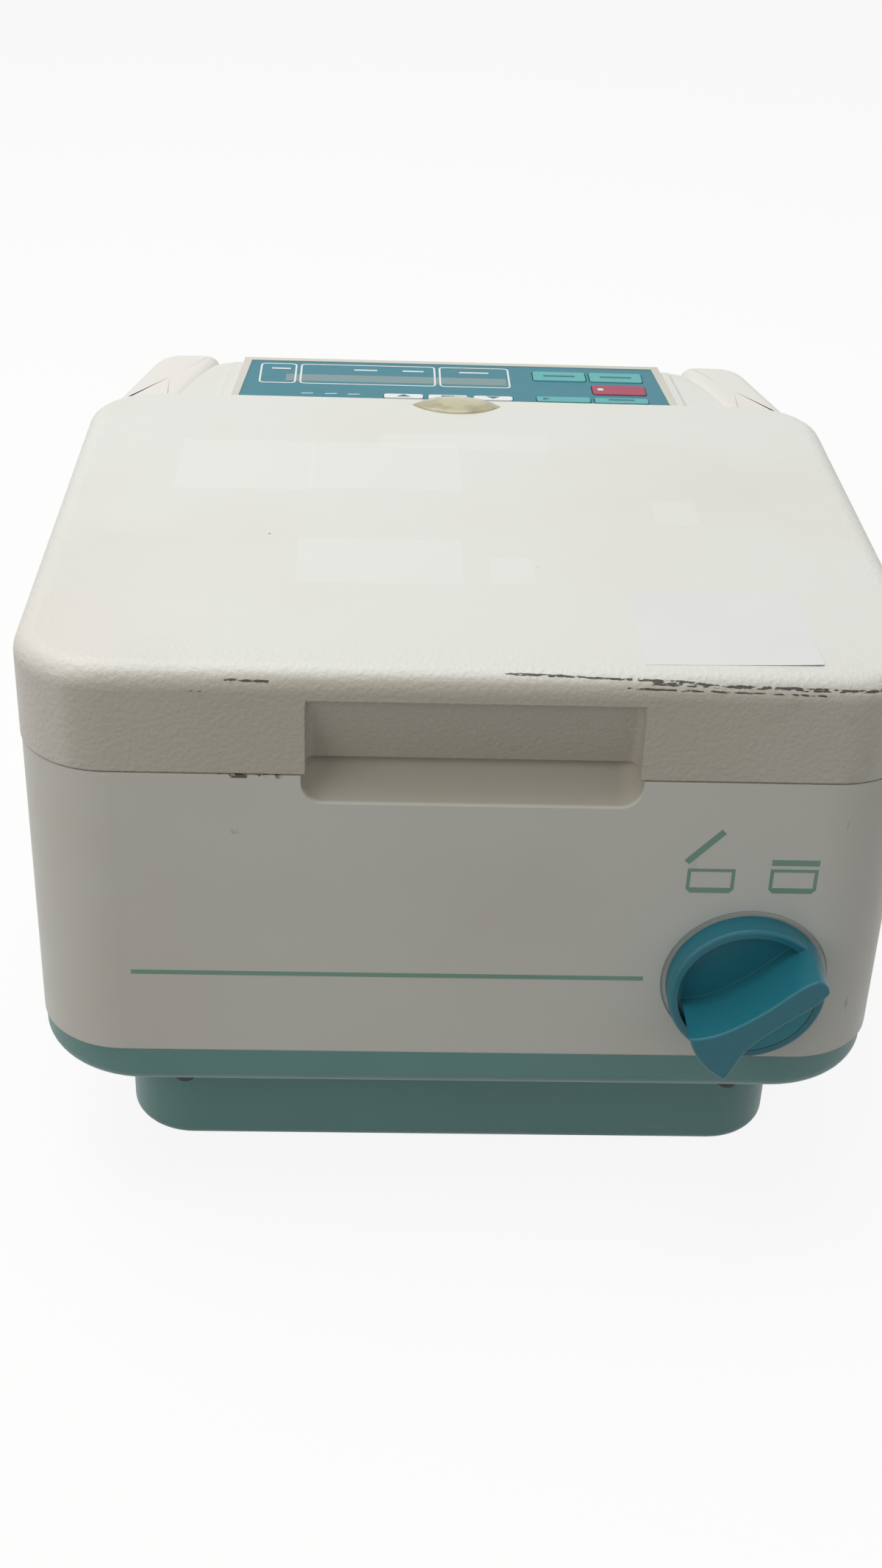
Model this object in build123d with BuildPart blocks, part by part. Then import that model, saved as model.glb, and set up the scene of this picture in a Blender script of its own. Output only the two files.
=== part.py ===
from build123d import *
import math
import os

# Benchtop centrifuge, in millimetres. X runs to the right, Y to the back and Z up.
# The origin is on the bench, under the middle of the whole outline.

# Outer sizes
body_width = 325.0
body_depth = 346.0
knob_reach = 30.0
feet_height = 3.0
plinth_height = 53.0
rim_height = 17.5
seam_height = 196.0
lid_top = 237.0
lid_width = 326.0
lid_depth = 272.0
lid_wall = 3.5
roof_overlap = 1.75
wall = 3.5
front = knob_reach - (knob_reach + body_depth) / 2
rear = front + body_depth

# Gaps between pieces
seam_gap = 0.6
run_gap = 0.35
pin_gap = 0.04
console_gap = 1.6

# Cuts that go through a wall, and how far they start outside it
through_cut = 14.0
overcut = 1.0

# Plan shape of the housing, with sides that close in behind the lid
front_corner = 34.0
taper_start = 262.0
rear_width = 235.0
taper_corner = 40.0
rear_corner = 24.0
console_edge = 16.0
wing_height = 228.5
pad_rise = 2.5
pad_slope = 2.4

# Lower pan
rim_width = 326.6
rim_corner = 42.0
rim_edge = 7.0
plinth_width = 265.4
plinth_inset = 31.5
plinth_back_inset = 40.0
plinth_corner = 26.4
plinth_edge = 4.0
foot_radius = 11.0
foot_inset = 24.0
foot_edge = 1.0

# Lid
lid_front_corner = 34.0
lid_rear_corner = 31.0
lid_edge = 8.5
lid_bottom = seam_height + seam_gap
grip_width = 118.0
grip_top = 225.8
grip_depth = 13.0
grip_step = 2.0
scoop_width = 121.0
scoop_bottom = 184.6
scoop_depth = 18.5
scoop_curve = 37.0
scoop_end = 8.0
grip_corner = 3.0

# Lid hinge
hinge_depth = 258.0
hinge_height = 228.0
hinge_pin_radius = 2.5
ear_radius = 5.0
ear_inner = 117.0
ear_thick = 7.0
lug_thick = 7.0
lug_width = 14.0
lug_drop = 9.0
ear_foot_depth = 26.0
ear_foot_thick = 2.5
ear_screw_places = (7.8, 19.5)
notch_side = 1.2
notch_top = 232.2
ear_screw_radius = 1.6
ear_screw_head = 3.2
ear_screw_head_height = 1.8

# Sight glass at the lid's back edge
glass_length = 40.0
glass_width = 21.0
glass_centre = 258.0
glass_crown = 1.0
glass_edge = 0.8

# Chamber
bowl_centre = 129.5
bowl_radius = 100.0
bowl_wall = 2.0
bowl_floor = 94.0
flange_radius = 107.0
flange_thick = 2.0
deck_gap = 0.5
gasket_inner = 101.0
gasket_outer = 106.0
gasket_height = 4.5
bowl_hole = 16.0
bowl_corner = 8.0

# Lid liner
liner_thick = 2.2
liner_width = 228.0
liner_front = 17.0
liner_back = 238.0
liner_corner = 30.0
liner_ring_radius = 90.0
liner_ring_drop = 1.6
liner_ring_width = 6.0
boss_radius = 5.0
boss_x = 104.0
boss_front = 30.0
boss_back = 222.0
lid_screw_radius = 1.75
lid_screw_head = 3.6
lid_screw_head_height = 1.6
lid_screw_length = 10.0

# Drive
shaft_radius = 6.0
shaft_edge = 1.0
mount_radius = 9.0
mount_height = 14.5
mount_ring = 58.0
plate_radius = 70.0
plate_thick = 3.0
can_radius = 46.0
can_wall = 3.0
can_height = 60.0
cap_thick = 4.0
bearing_radius = 13.0
bearing_height = 7.0
seat_wall = 4.0
stator_inner = 30.0
armature_radius = 28.5
stack_height = 38.0
seal_inner = 8.0
seal_outer = 22.0

# Rotor
rotor_radius = 91.0
rotor_bottom = 103.0
rotor_shoulder = 124.0
rotor_top = 170.0
rotor_top_radius = 60.0
rotor_recess_radius = 20.0
rotor_recess_floor = 150.0
rotor_rim_round = 2.0
tube_radius = 8.75
tube_tilt = 35.0
tube_ring = 38.0
tube_depth = 70.0
tube_count = 6
shaft_top = 160.0
nut_radius = 14.0
nut_top = 173.0
nut_flutes = 12
nut_flute_radius = 2.0

# Lock knob
knob_x = 105.3
knob_height = 110.0
knob_radius = 29.5
knob_gap = 0.5
knob_disc = 9.5
knob_edge = 1.5
dish_radius = 26.0
dish_depth = 5.0
ring_groove = 1.8
groove_depth = 1.0
bush_radius = 9.0
bush_flange = 12.0
bush_length = 8.0
bush_flange_thick = 2.0
shaft_socket = 3.5
crank_start = 12.0
crank_thick = 3.0
crank_radius = 16.0
crank_throw = 11.0
crank_pin_radius = 2.5
crank_pin_end = 25.0
half_turn = 30.0
quarter_turn = 90.0

# Outline of the knob's fin, along and across its own tilted axis
fin_tilt = 27.0
fin_round = 1.0
fin_top = ((-23.5, 6.3), (-14.5, 3.6), (-2.8, 4.2), (11.4, 7.2), (23.8, 10.3), (27.9, 10.2))
fin_end = (29.9, 7.0)
fin_low = ((29.6, 3.3), (24.0, 0.5), (12.7, -2.1), (3.4, -4.4), (-7.6, -8.6), (-14.5, -14.0), (-19.0, -17.2))
fin_heel = (-23.6, -6.5)

# Latch slide behind the front wall
slide_start = 19.5
slide_thick = 2.5
slide_left = 92.0
slide_right = 114.5
slide_bottom = 90.0
slide_top = 189.0
guide_pin_x = 109.5
guide_pin_heights = (145.0, 165.0)
guide_pin_radius = 2.0
guide_back = 27.0
guide_thick = 2.0
guide_left = 80.0
guide_right = 131.5
guide_seat = 0.2
guide_bottom = 92.0
guide_top = 172.0
nose_length = 11.5
nose_root = 4.0
nose_size = 6.0
nose_height = 184.0
latch_travel = 2 * crank_throw * math.sin(math.radians(half_turn))

# Lid striker
striker_x = 128.0
striker_thick = 3.0
striker_bottom = 177.0
striker_front = 13.0
striker_width = 16.0
striker_window = 9.0
striker_foot_height = 208.0
striker_foot_thick = 2.0
striker_foot_length = 13.0
striker_slot_side = 1.5
striker_slot_front = 7.0
striker_slot_back = 31.0

# Control panel
membrane_front = 276.5
membrane_back = 325.0
membrane_front_width = 199.0
membrane_back_width = 192.0
membrane_thick = 3.5
membrane_drop = 0.3
frame_strip = 3.5
frame_lip = 1.8
frame_floor = 2.5
frame_land = 1.6
tub_wall = 1.2
pad_margin = 7.0
board_drop = 7.0
board_thick = 1.6
board_size = (178.0, 40.0)
standoff_radius = 3.0
standoff_inset = 6.0
key_width = 25.0
key_depth = 12.0
front_key_depth = 6.4
key_columns = (50.5, 77.5)
key_rows = (311.8, 294.8, 280.9)
small_key_width = 18.2
small_key_depth = 5.2
small_key_columns = (-23.7, -3.2, 17.7)
small_key_row = 280.3
key_corner = 1.5
key_proud = 0.5
key_edge = 0.4
key_float = 0.8
window_left = -79.0
window_right = 25.0
window_front = 298.3
window_back = 307.3

# Back plate and mains fittings
plate_opening_width = 84.0
plate_opening_height = 52.0
plate_opening_x = 48.0
plate_opening_z = 112.0
back_plate_margin = 5.0
back_plate_thick = 2.0
inlet_x = 66.0
inlet_width = 27.0
inlet_height = 19.6
inlet_wall = 2.0
inlet_depth = 18.0
inlet_flange_width = 34.0
inlet_flange_height = 26.0
inlet_flange = 2.0
pin_width = 2.0
pin_depth = 4.0
pin_length = 13.0
pin_spacing = 7.0
fuse_x = 40.0
fuse_radius = 6.0
fuse_cap = 7.5
rocker_x = 20.0
rocker_radius = 9.2
rocker_half_angle = 7.0
rocker_width = 11.0
rocker_nose = 4.5
rocker_sink = 3.0
rocker_rim = 1.5
rocker_pin = 1.5
switch_wall = 2.0
switch_depth = 20.0

# Inside electrics
transformer_x = -95.0
transformer_depth = 262.0
transformer_size = (52.0, 44.0, 46.0)
coil_size = (62.4, 26.4, 32.2)
transformer_edge = 1.0
power_board_x = 60.0
power_board_depth = 255.0
power_board_size = (110.0, 54.0)
power_post_height = 7.0
power_post_radius = 3.5
power_post_inset = 7.0
power_part_size = (18.0, 30.0, 22.0)
power_part_pitch = 36.5
vent_count = 9
vent_pitch = 8.0
vent_width = 3.0
vent_height = 30.0
vent_x = -60.0
lid_switch_size = (12.0, 10.0, 15.0)

# Pan screws
pan_screw_radius = 2.0
pan_screw_head = 4.0
pan_screw_head_height = 2.0
pan_boss_radius = 6.0
pan_screw_x = 106.0
pan_screw_inset = 8.5
pan_boss_height = 12.0

# Places worked out from the sizes above
plinth_bottom = feet_height
rim_bottom = feet_height + plinth_height
rim_top = rim_bottom + rim_height
console_front = lid_depth + console_gap
pad_top = wing_height + pad_rise
panel_top = pad_top + frame_lip
membrane_top = panel_top - membrane_drop
membrane_under = membrane_top - membrane_thick
frame_under = membrane_under - frame_floor
board_top = frame_under - board_drop
pan_floor = plinth_bottom + wall
rim_floor = rim_bottom + wall
plate_bottom = pan_floor + mount_height
can_bottom = plate_bottom + plate_thick
can_top = can_bottom + can_height
cap_top = can_top + cap_thick
liner_under = seam_height + flange_thick + gasket_height + run_gap
liner_top = liner_under + liner_thick
lid_ceiling = lid_top - lid_wall
swing_radius = hinge_height - lid_bottom
pin_half = ear_thick / 2 + run_gap + lug_thick
shaft_bottom = can_bottom + can_wall
crank_pin_x = knob_x - crank_throw * math.sin(math.radians(half_turn))
crank_pin_z = knob_height + crank_throw * math.cos(math.radians(half_turn))

LOW = (Align.CENTER, Align.CENTER, Align.MIN)
HIGH = (Align.CENTER, Align.CENTER, Align.MAX)
os.makedirs("parts", exist_ok=True)


def deep(distance):
    """Y of a place that lies this far behind the front face."""
    return front + distance


def face_plane(distance):
    """Upright plane this far behind the front face, drawn as seen from the front."""
    return Plane(origin=(0, deep(distance), 0), x_dir=(1, 0, 0), z_dir=(0, -1, 0))


def side_plane(x):
    """Upright plane at this X, with Y across and Z up."""
    return Plane(origin=(x, 0, 0), x_dir=(0, 1, 0), z_dir=(1, 0, 0))


def rounded_plan(width, start, end, front_radius, back_radius, height):
    """Rectangle in plan from start to end behind the front face, its corners rounded."""
    with BuildSketch(Plane.XY.offset(height)) as plan:
        with Locations((0, deep((start + end) / 2))):
            Rectangle(width, end - start)
        fillet(plan.vertices().group_by(Axis.Y)[0], front_radius)
        fillet(plan.vertices().group_by(Axis.Y)[-1], back_radius)
    return plan.sketch


def tapered_plan(width, inset, corner, height):
    """Outline of the housing in plan, moved in by a wall, closing in behind the lid."""
    half = width / 2
    back_half = rear_width / 2
    lean = math.atan2(half - back_half, body_depth - taper_start)
    side_shift = inset * math.tan(lean / 2)
    back_shift = inset * math.tan((math.pi / 2 - lean) / 2)
    points = [
        (-half + inset, front + inset),
        (half - inset, front + inset),
        (half - inset, deep(taper_start) - side_shift),
        (back_half - back_shift, rear - inset),
        (-back_half + back_shift, rear - inset),
        (-half + inset, deep(taper_start) - side_shift),
    ]
    with BuildSketch(Plane.XY.offset(height)) as plan:
        with BuildLine():
            Polyline(*points, close=True)
        make_face()
        fillet(plan.vertices().group_by(Axis.Y)[1], taper_corner)
        fillet(plan.vertices().group_by(Axis.Y)[0], corner - inset)
        fillet(plan.vertices().group_by(Axis.Y)[-1], rear_corner - inset)
    return plan.sketch


def console_form(inset, bottom):
    """Solid form of the housing: the body up to the seam and the console behind the lid."""
    with BuildPart() as form:
        extrude(tapered_plan(body_width, inset, front_corner, bottom), amount=wing_height - inset - bottom)
        with BuildSketch(Plane.XY.offset(seam_height - inset)):
            with Locations((0, deep(console_front + inset) - body_depth / 2)):
                Rectangle(2 * body_width, body_depth)
        extrude(amount=lid_top, mode=Mode.SUBTRACT)
        roof = form.faces().sort_by(Axis.Z)[-1]
        edges = roof.edges().filter_by(lambda edge: edge.center().Y > deep(console_front + inset) + overcut)
        fillet(edges, console_edge - inset)
    return form.part


def trapezoid(front_place, back_place, front_width, back_width, height):
    """Symmetric four-sided outline in plan, narrower at the back."""
    with BuildSketch(Plane.XY.offset(height)) as shape:
        with BuildLine():
            Polyline(
                (-front_width / 2, deep(front_place)),
                (front_width / 2, deep(front_place)),
                (back_width / 2, deep(back_place)),
                (-back_width / 2, deep(back_place)),
                close=True,
            )
        make_face()
    return shape.sketch


def lens_plan(length, width, height):
    """Pointed oval between two arcs, centred on the sight glass."""
    with BuildSketch(Plane.XY.offset(height)) as shape:
        with BuildLine():
            left = (-length / 2, deep(glass_centre))
            right = (length / 2, deep(glass_centre))
            ThreePointArc(left, (0, deep(glass_centre) + width / 2), right)
            ThreePointArc(right, (0, deep(glass_centre) - width / 2), left)
        make_face()
    return shape.sketch


def save(piece, name):
    """Label a finished piece and write its file."""
    piece.part.label = name
    export_step(piece.part, f"parts/{name}.step")


# Lower pan: a rim under the housing and a narrower plinth below it
with BuildPart() as base_pan:
    extrude(tapered_plan(rim_width, 0, rim_corner, rim_bottom), amount=rim_height)
    fillet(base_pan.faces().sort_by(Axis.Z)[0].edges(), rim_edge)
    plinth_back = body_depth - plinth_back_inset
    extrude(
        rounded_plan(plinth_width, plinth_inset, plinth_back, plinth_corner, plinth_corner, plinth_bottom),
        amount=plinth_height,
    )
    fillet(base_pan.faces().sort_by(Axis.Z)[0].edges(), plinth_edge)
    extrude(
        tapered_plan(rim_width, wall, rim_corner, rim_floor), amount=rim_height, mode=Mode.SUBTRACT
    )
    extrude(
        rounded_plan(
            plinth_width - 2 * wall,
            plinth_inset + wall,
            plinth_back - wall,
            plinth_corner - wall,
            plinth_corner - wall,
            pan_floor,
        ),
        amount=rim_top,
        mode=Mode.SUBTRACT,
    )
    pan_screw_spots = [
        (side * pan_screw_x, deep(place), rim_floor)
        for side in (-1, 1)
        for place in (pan_screw_inset, body_depth - pan_screw_inset)
    ]
    with Locations(*pan_screw_spots):
        Cylinder(pan_screw_radius, through_cut, mode=Mode.SUBTRACT)
    with Locations((power_board_x, deep(power_board_depth), pan_floor)):
        with GridLocations(
            power_board_size[0] - 2 * power_post_inset, power_board_size[1] - 2 * power_post_inset, 2, 2
        ):
            Cylinder(power_post_radius, power_post_height, align=LOW)
save(base_pan, "base_pan")

# Four rubber feet under the plinth
foot_spots = [
    (side * (plinth_width / 2 - foot_inset), deep(place))
    for side in (-1, 1)
    for place in (plinth_inset + foot_inset, body_depth - plinth_back_inset - foot_inset)
]
with BuildPart() as rubber_feet:
    with Locations(*foot_spots):
        Cylinder(foot_radius, feet_height, align=LOW)
    fillet(rubber_feet.edges().group_by(Axis.Z)[0], foot_edge)
save(rubber_feet, "rubber_feet")

# Housing: one moulded shell with the deck, the finger scoop and the console
with BuildPart() as housing:
    add(console_form(0, rim_top))
    add(console_form(wall, rim_top), mode=Mode.SUBTRACT)
    with Locations((0, deep((scoop_depth + wall) / 2), seam_height)):
        Box(scoop_width + 2 * wall, scoop_depth + wall, seam_height - scoop_bottom + wall, align=HIGH)
    with BuildSketch(side_plane(-scoop_width / 2)):
        with BuildLine():
            mouth = (front - overcut, scoop_bottom)
            lip = (front, scoop_bottom)
            inner = (deep(scoop_depth), seam_height)
            Line((front - overcut, seam_height + overcut), mouth)
            Line(mouth, lip)
            RadiusArc(lip, inner, -scoop_curve)
            Line(inner, (deep(scoop_depth), seam_height + overcut))
            Line((deep(scoop_depth), seam_height + overcut), (front - overcut, seam_height + overcut))
        make_face()
    extrude(amount=scoop_width, mode=Mode.SUBTRACT)
    arcs = housing.edges().filter_by(GeomType.CIRCLE)
    fillet(arcs.filter_by(lambda arc: abs(abs(arc.center().X) - scoop_width / 2) < pin_gap), scoop_end)
    with Locations((0, deep(bowl_centre), seam_height)):
        Cylinder(bowl_radius + bowl_wall + deck_gap, through_cut, mode=Mode.SUBTRACT)
    slot_depth = striker_slot_back - striker_slot_front
    with Locations((striker_x + striker_thick / 2, deep(striker_slot_front + slot_depth / 2), seam_height)):
        Box(striker_thick + 2 * striker_slot_side, slot_depth, through_cut, mode=Mode.SUBTRACT)
    pad_back = membrane_back + frame_strip
    extrude(
        trapezoid(
            console_front,
            pad_back,
            membrane_front_width + 2 * (frame_strip + pad_margin),
            membrane_back_width + 2 * (frame_strip + pad_margin),
            wing_height - wall,
        ),
        amount=wall + pad_rise,
    )
    pad_face = housing.faces().filter_by(Plane.XY).sort_by(Axis.Z)[-1]
    pad_sides = pad_face.edges().filter_by(lambda edge: edge.center().Y > deep(console_front) + overcut)
    chamfer(pad_sides, pad_slope)
    extrude(
        trapezoid(
            membrane_front - tub_wall,
            membrane_back + tub_wall,
            membrane_front_width + 2 * tub_wall,
            membrane_back_width + 2 * tub_wall,
            wing_height - 2 * wall,
        ),
        amount=lid_top,
        mode=Mode.SUBTRACT,
    )
    with BuildSketch(face_plane(-overcut)):
        with Locations((knob_x, knob_height)):
            Circle(knob_radius + ring_groove)
            Circle(knob_radius - knob_edge, mode=Mode.SUBTRACT)
    extrude(amount=-overcut - groove_depth, mode=Mode.SUBTRACT)
    with BuildSketch(face_plane(-overcut)):
        with Locations((knob_x, knob_height)):
            Circle(bush_radius)
    extrude(amount=-through_cut, mode=Mode.SUBTRACT)
    with BuildSketch(face_plane(body_depth + overcut)):
        with Locations((plate_opening_x, plate_opening_z)):
            RectangleRounded(plate_opening_width, plate_opening_height, wall)
    extrude(amount=through_cut, mode=Mode.SUBTRACT)
    with BuildSketch(face_plane(body_depth + overcut)):
        with Locations((vent_x, plate_opening_z)):
            with GridLocations(vent_pitch, 1, vent_count, 1):
                SlotOverall(vent_height, vent_width, rotation=quarter_turn)
    extrude(amount=through_cut, mode=Mode.SUBTRACT)
    with Locations(*[(x, y, rim_top) for x, y, z in pan_screw_spots]):
        Cylinder(pan_boss_radius, pan_boss_height, align=LOW)
        Cylinder(pan_screw_radius, pan_boss_height, align=LOW, mode=Mode.SUBTRACT)
    ear_screw_spots = [
        (side * (ear_inner + ear_thick / 2), deep(hinge_depth - ear_radius - place))
        for side in (-1, 1)
        for place in ear_screw_places
    ]
    with Locations(*[(x, y, seam_height) for x, y in ear_screw_spots]):
        Cylinder(ear_screw_radius, through_cut, mode=Mode.SUBTRACT)
save(housing, "housing")

# Screws that hold the pan to the housing
with BuildPart() as pan_screws:
    with Locations(*[(x, y, rim_bottom) for x, y, z in pan_screw_spots]):
        Cylinder(pan_screw_radius, pan_boss_height + rim_height, align=LOW)
        Cylinder(pan_screw_head, pan_screw_head_height, align=HIGH)
save(pan_screws, "pan_screws")

# Steel chamber with its flange on the deck
with BuildPart() as bowl_hollow:
    with Locations((0, deep(bowl_centre), bowl_floor + bowl_wall)):
        Cylinder(bowl_radius, seam_height, align=LOW)
    fillet(bowl_hollow.edges().group_by(Axis.Z)[0], bowl_corner)
with BuildPart() as bowl:
    with Locations((0, deep(bowl_centre), bowl_floor)):
        Cylinder(bowl_radius + bowl_wall, seam_height - bowl_floor, align=LOW)
    fillet(bowl.edges().group_by(Axis.Z)[0], bowl_corner + bowl_wall)
    with Locations((0, deep(bowl_centre), seam_height)):
        Cylinder(flange_radius, flange_thick, align=LOW)
    add(bowl_hollow.part, mode=Mode.SUBTRACT)
    with Locations((0, deep(bowl_centre), bowl_floor)):
        Cylinder(bowl_hole, through_cut, mode=Mode.SUBTRACT)
save(bowl, "bowl")


def ring(outer, inner, low, high):
    """Plain ring about the spin axis between two heights."""
    with BuildPart() as piece:
        with Locations((0, deep(bowl_centre), low)):
            Cylinder(outer, high - low, align=LOW)
            Cylinder(inner, high - low, align=LOW, mode=Mode.SUBTRACT)
    return piece.part


with BuildPart() as bowl_gasket:
    add(ring(gasket_outer, gasket_inner, seam_height + flange_thick, liner_under - run_gap))
save(bowl_gasket, "bowl_gasket")

# Motor on its plate and three rubber mounts
with BuildPart() as motor_mounts:
    with Locations((0, deep(bowl_centre), pan_floor)):
        with PolarLocations(mount_ring, 3, start_angle=quarter_turn):
            Cylinder(mount_radius, mount_height, align=LOW)
save(motor_mounts, "motor_mounts")

with BuildPart() as motor_plate:
    with Locations((0, deep(bowl_centre), plate_bottom)):
        Cylinder(plate_radius, plate_thick, align=LOW)
save(motor_plate, "motor_plate")

with BuildPart() as motor_can:
    add(ring(can_radius, can_radius - can_wall, can_bottom, can_top))
    with Locations((0, deep(bowl_centre), can_bottom)):
        Cylinder(can_radius, can_wall, align=LOW)
    add(ring(bearing_radius + seat_wall, bearing_radius, shaft_bottom, shaft_bottom + bearing_height))
save(motor_can, "motor_can")

with BuildPart() as motor_cap:
    add(ring(can_radius, seal_inner, can_top, cap_top))
    add(ring(bearing_radius + seat_wall, bearing_radius, can_top - bearing_height, can_top))
save(motor_cap, "motor_cap")

stack_low = (shaft_bottom + can_top - stack_height) / 2
with BuildPart() as stator:
    add(ring(can_radius - can_wall, stator_inner, stack_low, stack_low + stack_height))
save(stator, "stator")

with BuildPart() as armature:
    add(ring(armature_radius, shaft_radius, stack_low, stack_low + stack_height))
save(armature, "armature")

bearing_bore = shaft_radius + pin_gap
with BuildPart() as bearing_lower:
    add(ring(bearing_radius, bearing_bore, shaft_bottom, shaft_bottom + bearing_height))
save(bearing_lower, "bearing_lower")

with BuildPart() as bearing_upper:
    add(ring(bearing_radius, bearing_bore, can_top - bearing_height, can_top))
save(bearing_upper, "bearing_upper")

with BuildPart() as motor_shaft:
    with Locations((0, deep(bowl_centre), shaft_bottom + run_gap)):
        Cylinder(shaft_radius, shaft_top - shaft_bottom - run_gap, align=LOW)
    chamfer(motor_shaft.edges().group_by(Axis.Z)[-1], shaft_edge)
save(motor_shaft, "motor_shaft")

with BuildPart() as shaft_seal:
    add(ring(seal_outer, seal_inner, cap_top, bowl_floor))
save(shaft_seal, "shaft_seal")

# Fixed-angle rotor with its tube bores
spin_axis = Axis((0, deep(bowl_centre), 0), (0, 0, 1))
with BuildPart() as rotor_body:
    with BuildSketch(face_plane(bowl_centre)):
        with BuildLine():
            Polyline(
                (shaft_radius, rotor_bottom),
                (rotor_radius, rotor_bottom),
                (rotor_radius, rotor_shoulder),
                (rotor_top_radius, rotor_top),
                (rotor_recess_radius, rotor_top),
                (rotor_recess_radius, rotor_recess_floor),
                (shaft_radius, rotor_recess_floor),
                close=True,
            )
        make_face()
    revolve(axis=spin_axis)
    fillet(rotor_body.edges().group_by(Axis.Z)[-1].sort_by(SortBy.LENGTH)[-1], rotor_rim_round)
    for number in range(tube_count):
        turn = 2 * math.pi * number / tube_count
        lean_in = math.radians(tube_tilt)
        mouth = Plane(
            origin=(
                tube_ring * math.cos(turn),
                deep(bowl_centre) + tube_ring * math.sin(turn),
                rotor_top,
            ),
            z_dir=(
                -math.sin(lean_in) * math.cos(turn),
                -math.sin(lean_in) * math.sin(turn),
                math.cos(lean_in),
            ),
        )
        with BuildSketch(mouth.offset(-tube_depth)):
            Circle(tube_radius)
        extrude(amount=tube_depth + 2 * tube_radius, mode=Mode.SUBTRACT)
save(rotor_body, "rotor_body")

with BuildPart() as rotor_nut:
    with Locations((0, deep(bowl_centre), rotor_recess_floor)):
        Cylinder(nut_radius, nut_top - rotor_recess_floor, align=LOW)
    fillet(rotor_nut.edges().group_by(Axis.Z)[-1], nut_flute_radius)
    with Locations((0, deep(bowl_centre), rotor_recess_floor)):
        with PolarLocations(nut_radius + nut_flute_radius / 2, nut_flutes):
            Cylinder(nut_flute_radius, nut_top - rotor_recess_floor, align=LOW, mode=Mode.SUBTRACT)
        Cylinder(shaft_radius, shaft_top - rotor_recess_floor, align=LOW, mode=Mode.SUBTRACT)
save(rotor_nut, "rotor_nut")

# Lid shell with grip recess, swing relief, hinge lugs and bosses
with BuildPart() as lid_hollow:
    extrude(
        rounded_plan(
            lid_width - 2 * lid_wall,
            lid_wall,
            lid_depth - lid_wall,
            lid_front_corner - lid_wall,
            lid_rear_corner - lid_wall,
            lid_bottom,
        ),
        amount=lid_ceiling - lid_bottom,
    )
    fillet(lid_hollow.faces().sort_by(Axis.Z)[-1].edges(), lid_edge - lid_wall)

liner_spots = [(side * boss_x, deep(place)) for side in (-1, 1) for place in (boss_front, boss_back)]
striker_foot_x = striker_x + striker_thick - striker_foot_length / 2
striker_y = deep(striker_front + striker_width / 2)
lug_centres = [
    side * (ear_inner + ear_thick / 2 + away * (ear_thick / 2 + run_gap + lug_thick / 2))
    for side in (-1, 1)
    for away in (-1, 1)
]
with BuildPart() as lid_shell:
    extrude(
        rounded_plan(lid_width, 0, lid_depth, lid_front_corner, lid_rear_corner, lid_bottom),
        amount=lid_top - lid_bottom,
    )
    fillet(lid_shell.faces().sort_by(Axis.Z)[-1].edges(), lid_edge)
    add(lid_hollow.part, mode=Mode.SUBTRACT)
    with Locations((0, deep(lid_wall), lid_bottom)):
        Box(
            grip_width + 2 * lid_wall,
            grip_depth,
            lid_ceiling - lid_bottom + roof_overlap,
            align=(Align.CENTER, Align.MIN, Align.MIN),
        )
    with BuildSketch(side_plane(-grip_width / 2)):
        with BuildLine():
            Polyline(
                (front - overcut, lid_bottom - overcut),
                (front - overcut, grip_top),
                (deep(grip_step), grip_top),
                (deep(grip_depth), lid_bottom),
                (deep(grip_depth), lid_bottom - overcut),
                close=True,
            )
        make_face()
    extrude(amount=grip_width, mode=Mode.SUBTRACT)
    grip_ends = lid_shell.edges().filter_by(
        lambda edge: abs(abs(edge.center().X) - grip_width / 2) < pin_gap
    )
    slanted = grip_ends.filter_by(lambda edge: min(abs((edge % 0.5).Y), abs((edge % 0.5).Z)) > pin_gap)
    fillet(slanted, grip_corner)
    with Locations(*[(x, y, liner_top) for x, y in liner_spots]):
        Cylinder(boss_radius, lid_ceiling - liner_top + roof_overlap, align=LOW)
        Cylinder(lid_screw_radius, lid_screw_length, align=LOW, mode=Mode.SUBTRACT)
    with Locations((striker_foot_x, striker_y, striker_foot_height + striker_foot_thick)):
        Box(striker_foot_length, striker_width, lid_ceiling - striker_foot_height, align=LOW)
    with Locations(*[(x, deep(hinge_depth), hinge_height - lug_drop) for x in lug_centres]):
        Box(lug_thick, lug_width, lid_ceiling - hinge_height + lug_drop + roof_overlap, align=LOW)
    for side in (-1, 1):
        with BuildSketch(side_plane(side * (ear_inner + ear_thick / 2) - pin_half)):
            with Locations((deep(hinge_depth), hinge_height)):
                Circle(hinge_pin_radius)
        extrude(amount=2 * pin_half, mode=Mode.SUBTRACT)
    with BuildSketch(side_plane(-lid_width)):
        with Locations((deep(hinge_depth), hinge_height)):
            Rectangle(lid_depth, lid_depth, align=(Align.MIN, Align.MAX))
            Circle(swing_radius, mode=Mode.SUBTRACT)
    extrude(amount=2 * lid_width, mode=Mode.SUBTRACT)
    notch_width = ear_thick + 2 * notch_side
    notch_depth = lid_edge
    for side in (-1, 1):
        with Locations((side * (ear_inner + ear_thick / 2), deep(lid_depth - notch_depth), notch_top)):
            Box(
                notch_width,
                2 * notch_depth,
                lid_top - lid_bottom,
                align=(Align.CENTER, Align.MIN, Align.MAX),
                mode=Mode.SUBTRACT,
            )
    glass_hole = lens_plan(glass_length, glass_width, lid_ceiling - lid_wall)
    extrude(glass_hole, amount=lid_top, mode=Mode.SUBTRACT)
save(lid_shell, "lid_shell")

with BuildPart() as sight_glass:
    extrude(
        lens_plan(glass_length, glass_width, lid_ceiling), amount=lid_top + glass_crown - lid_ceiling
    )
    fillet(sight_glass.faces().sort_by(Axis.Z)[-1].edges(), glass_edge)
save(sight_glass, "sight_glass")

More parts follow.
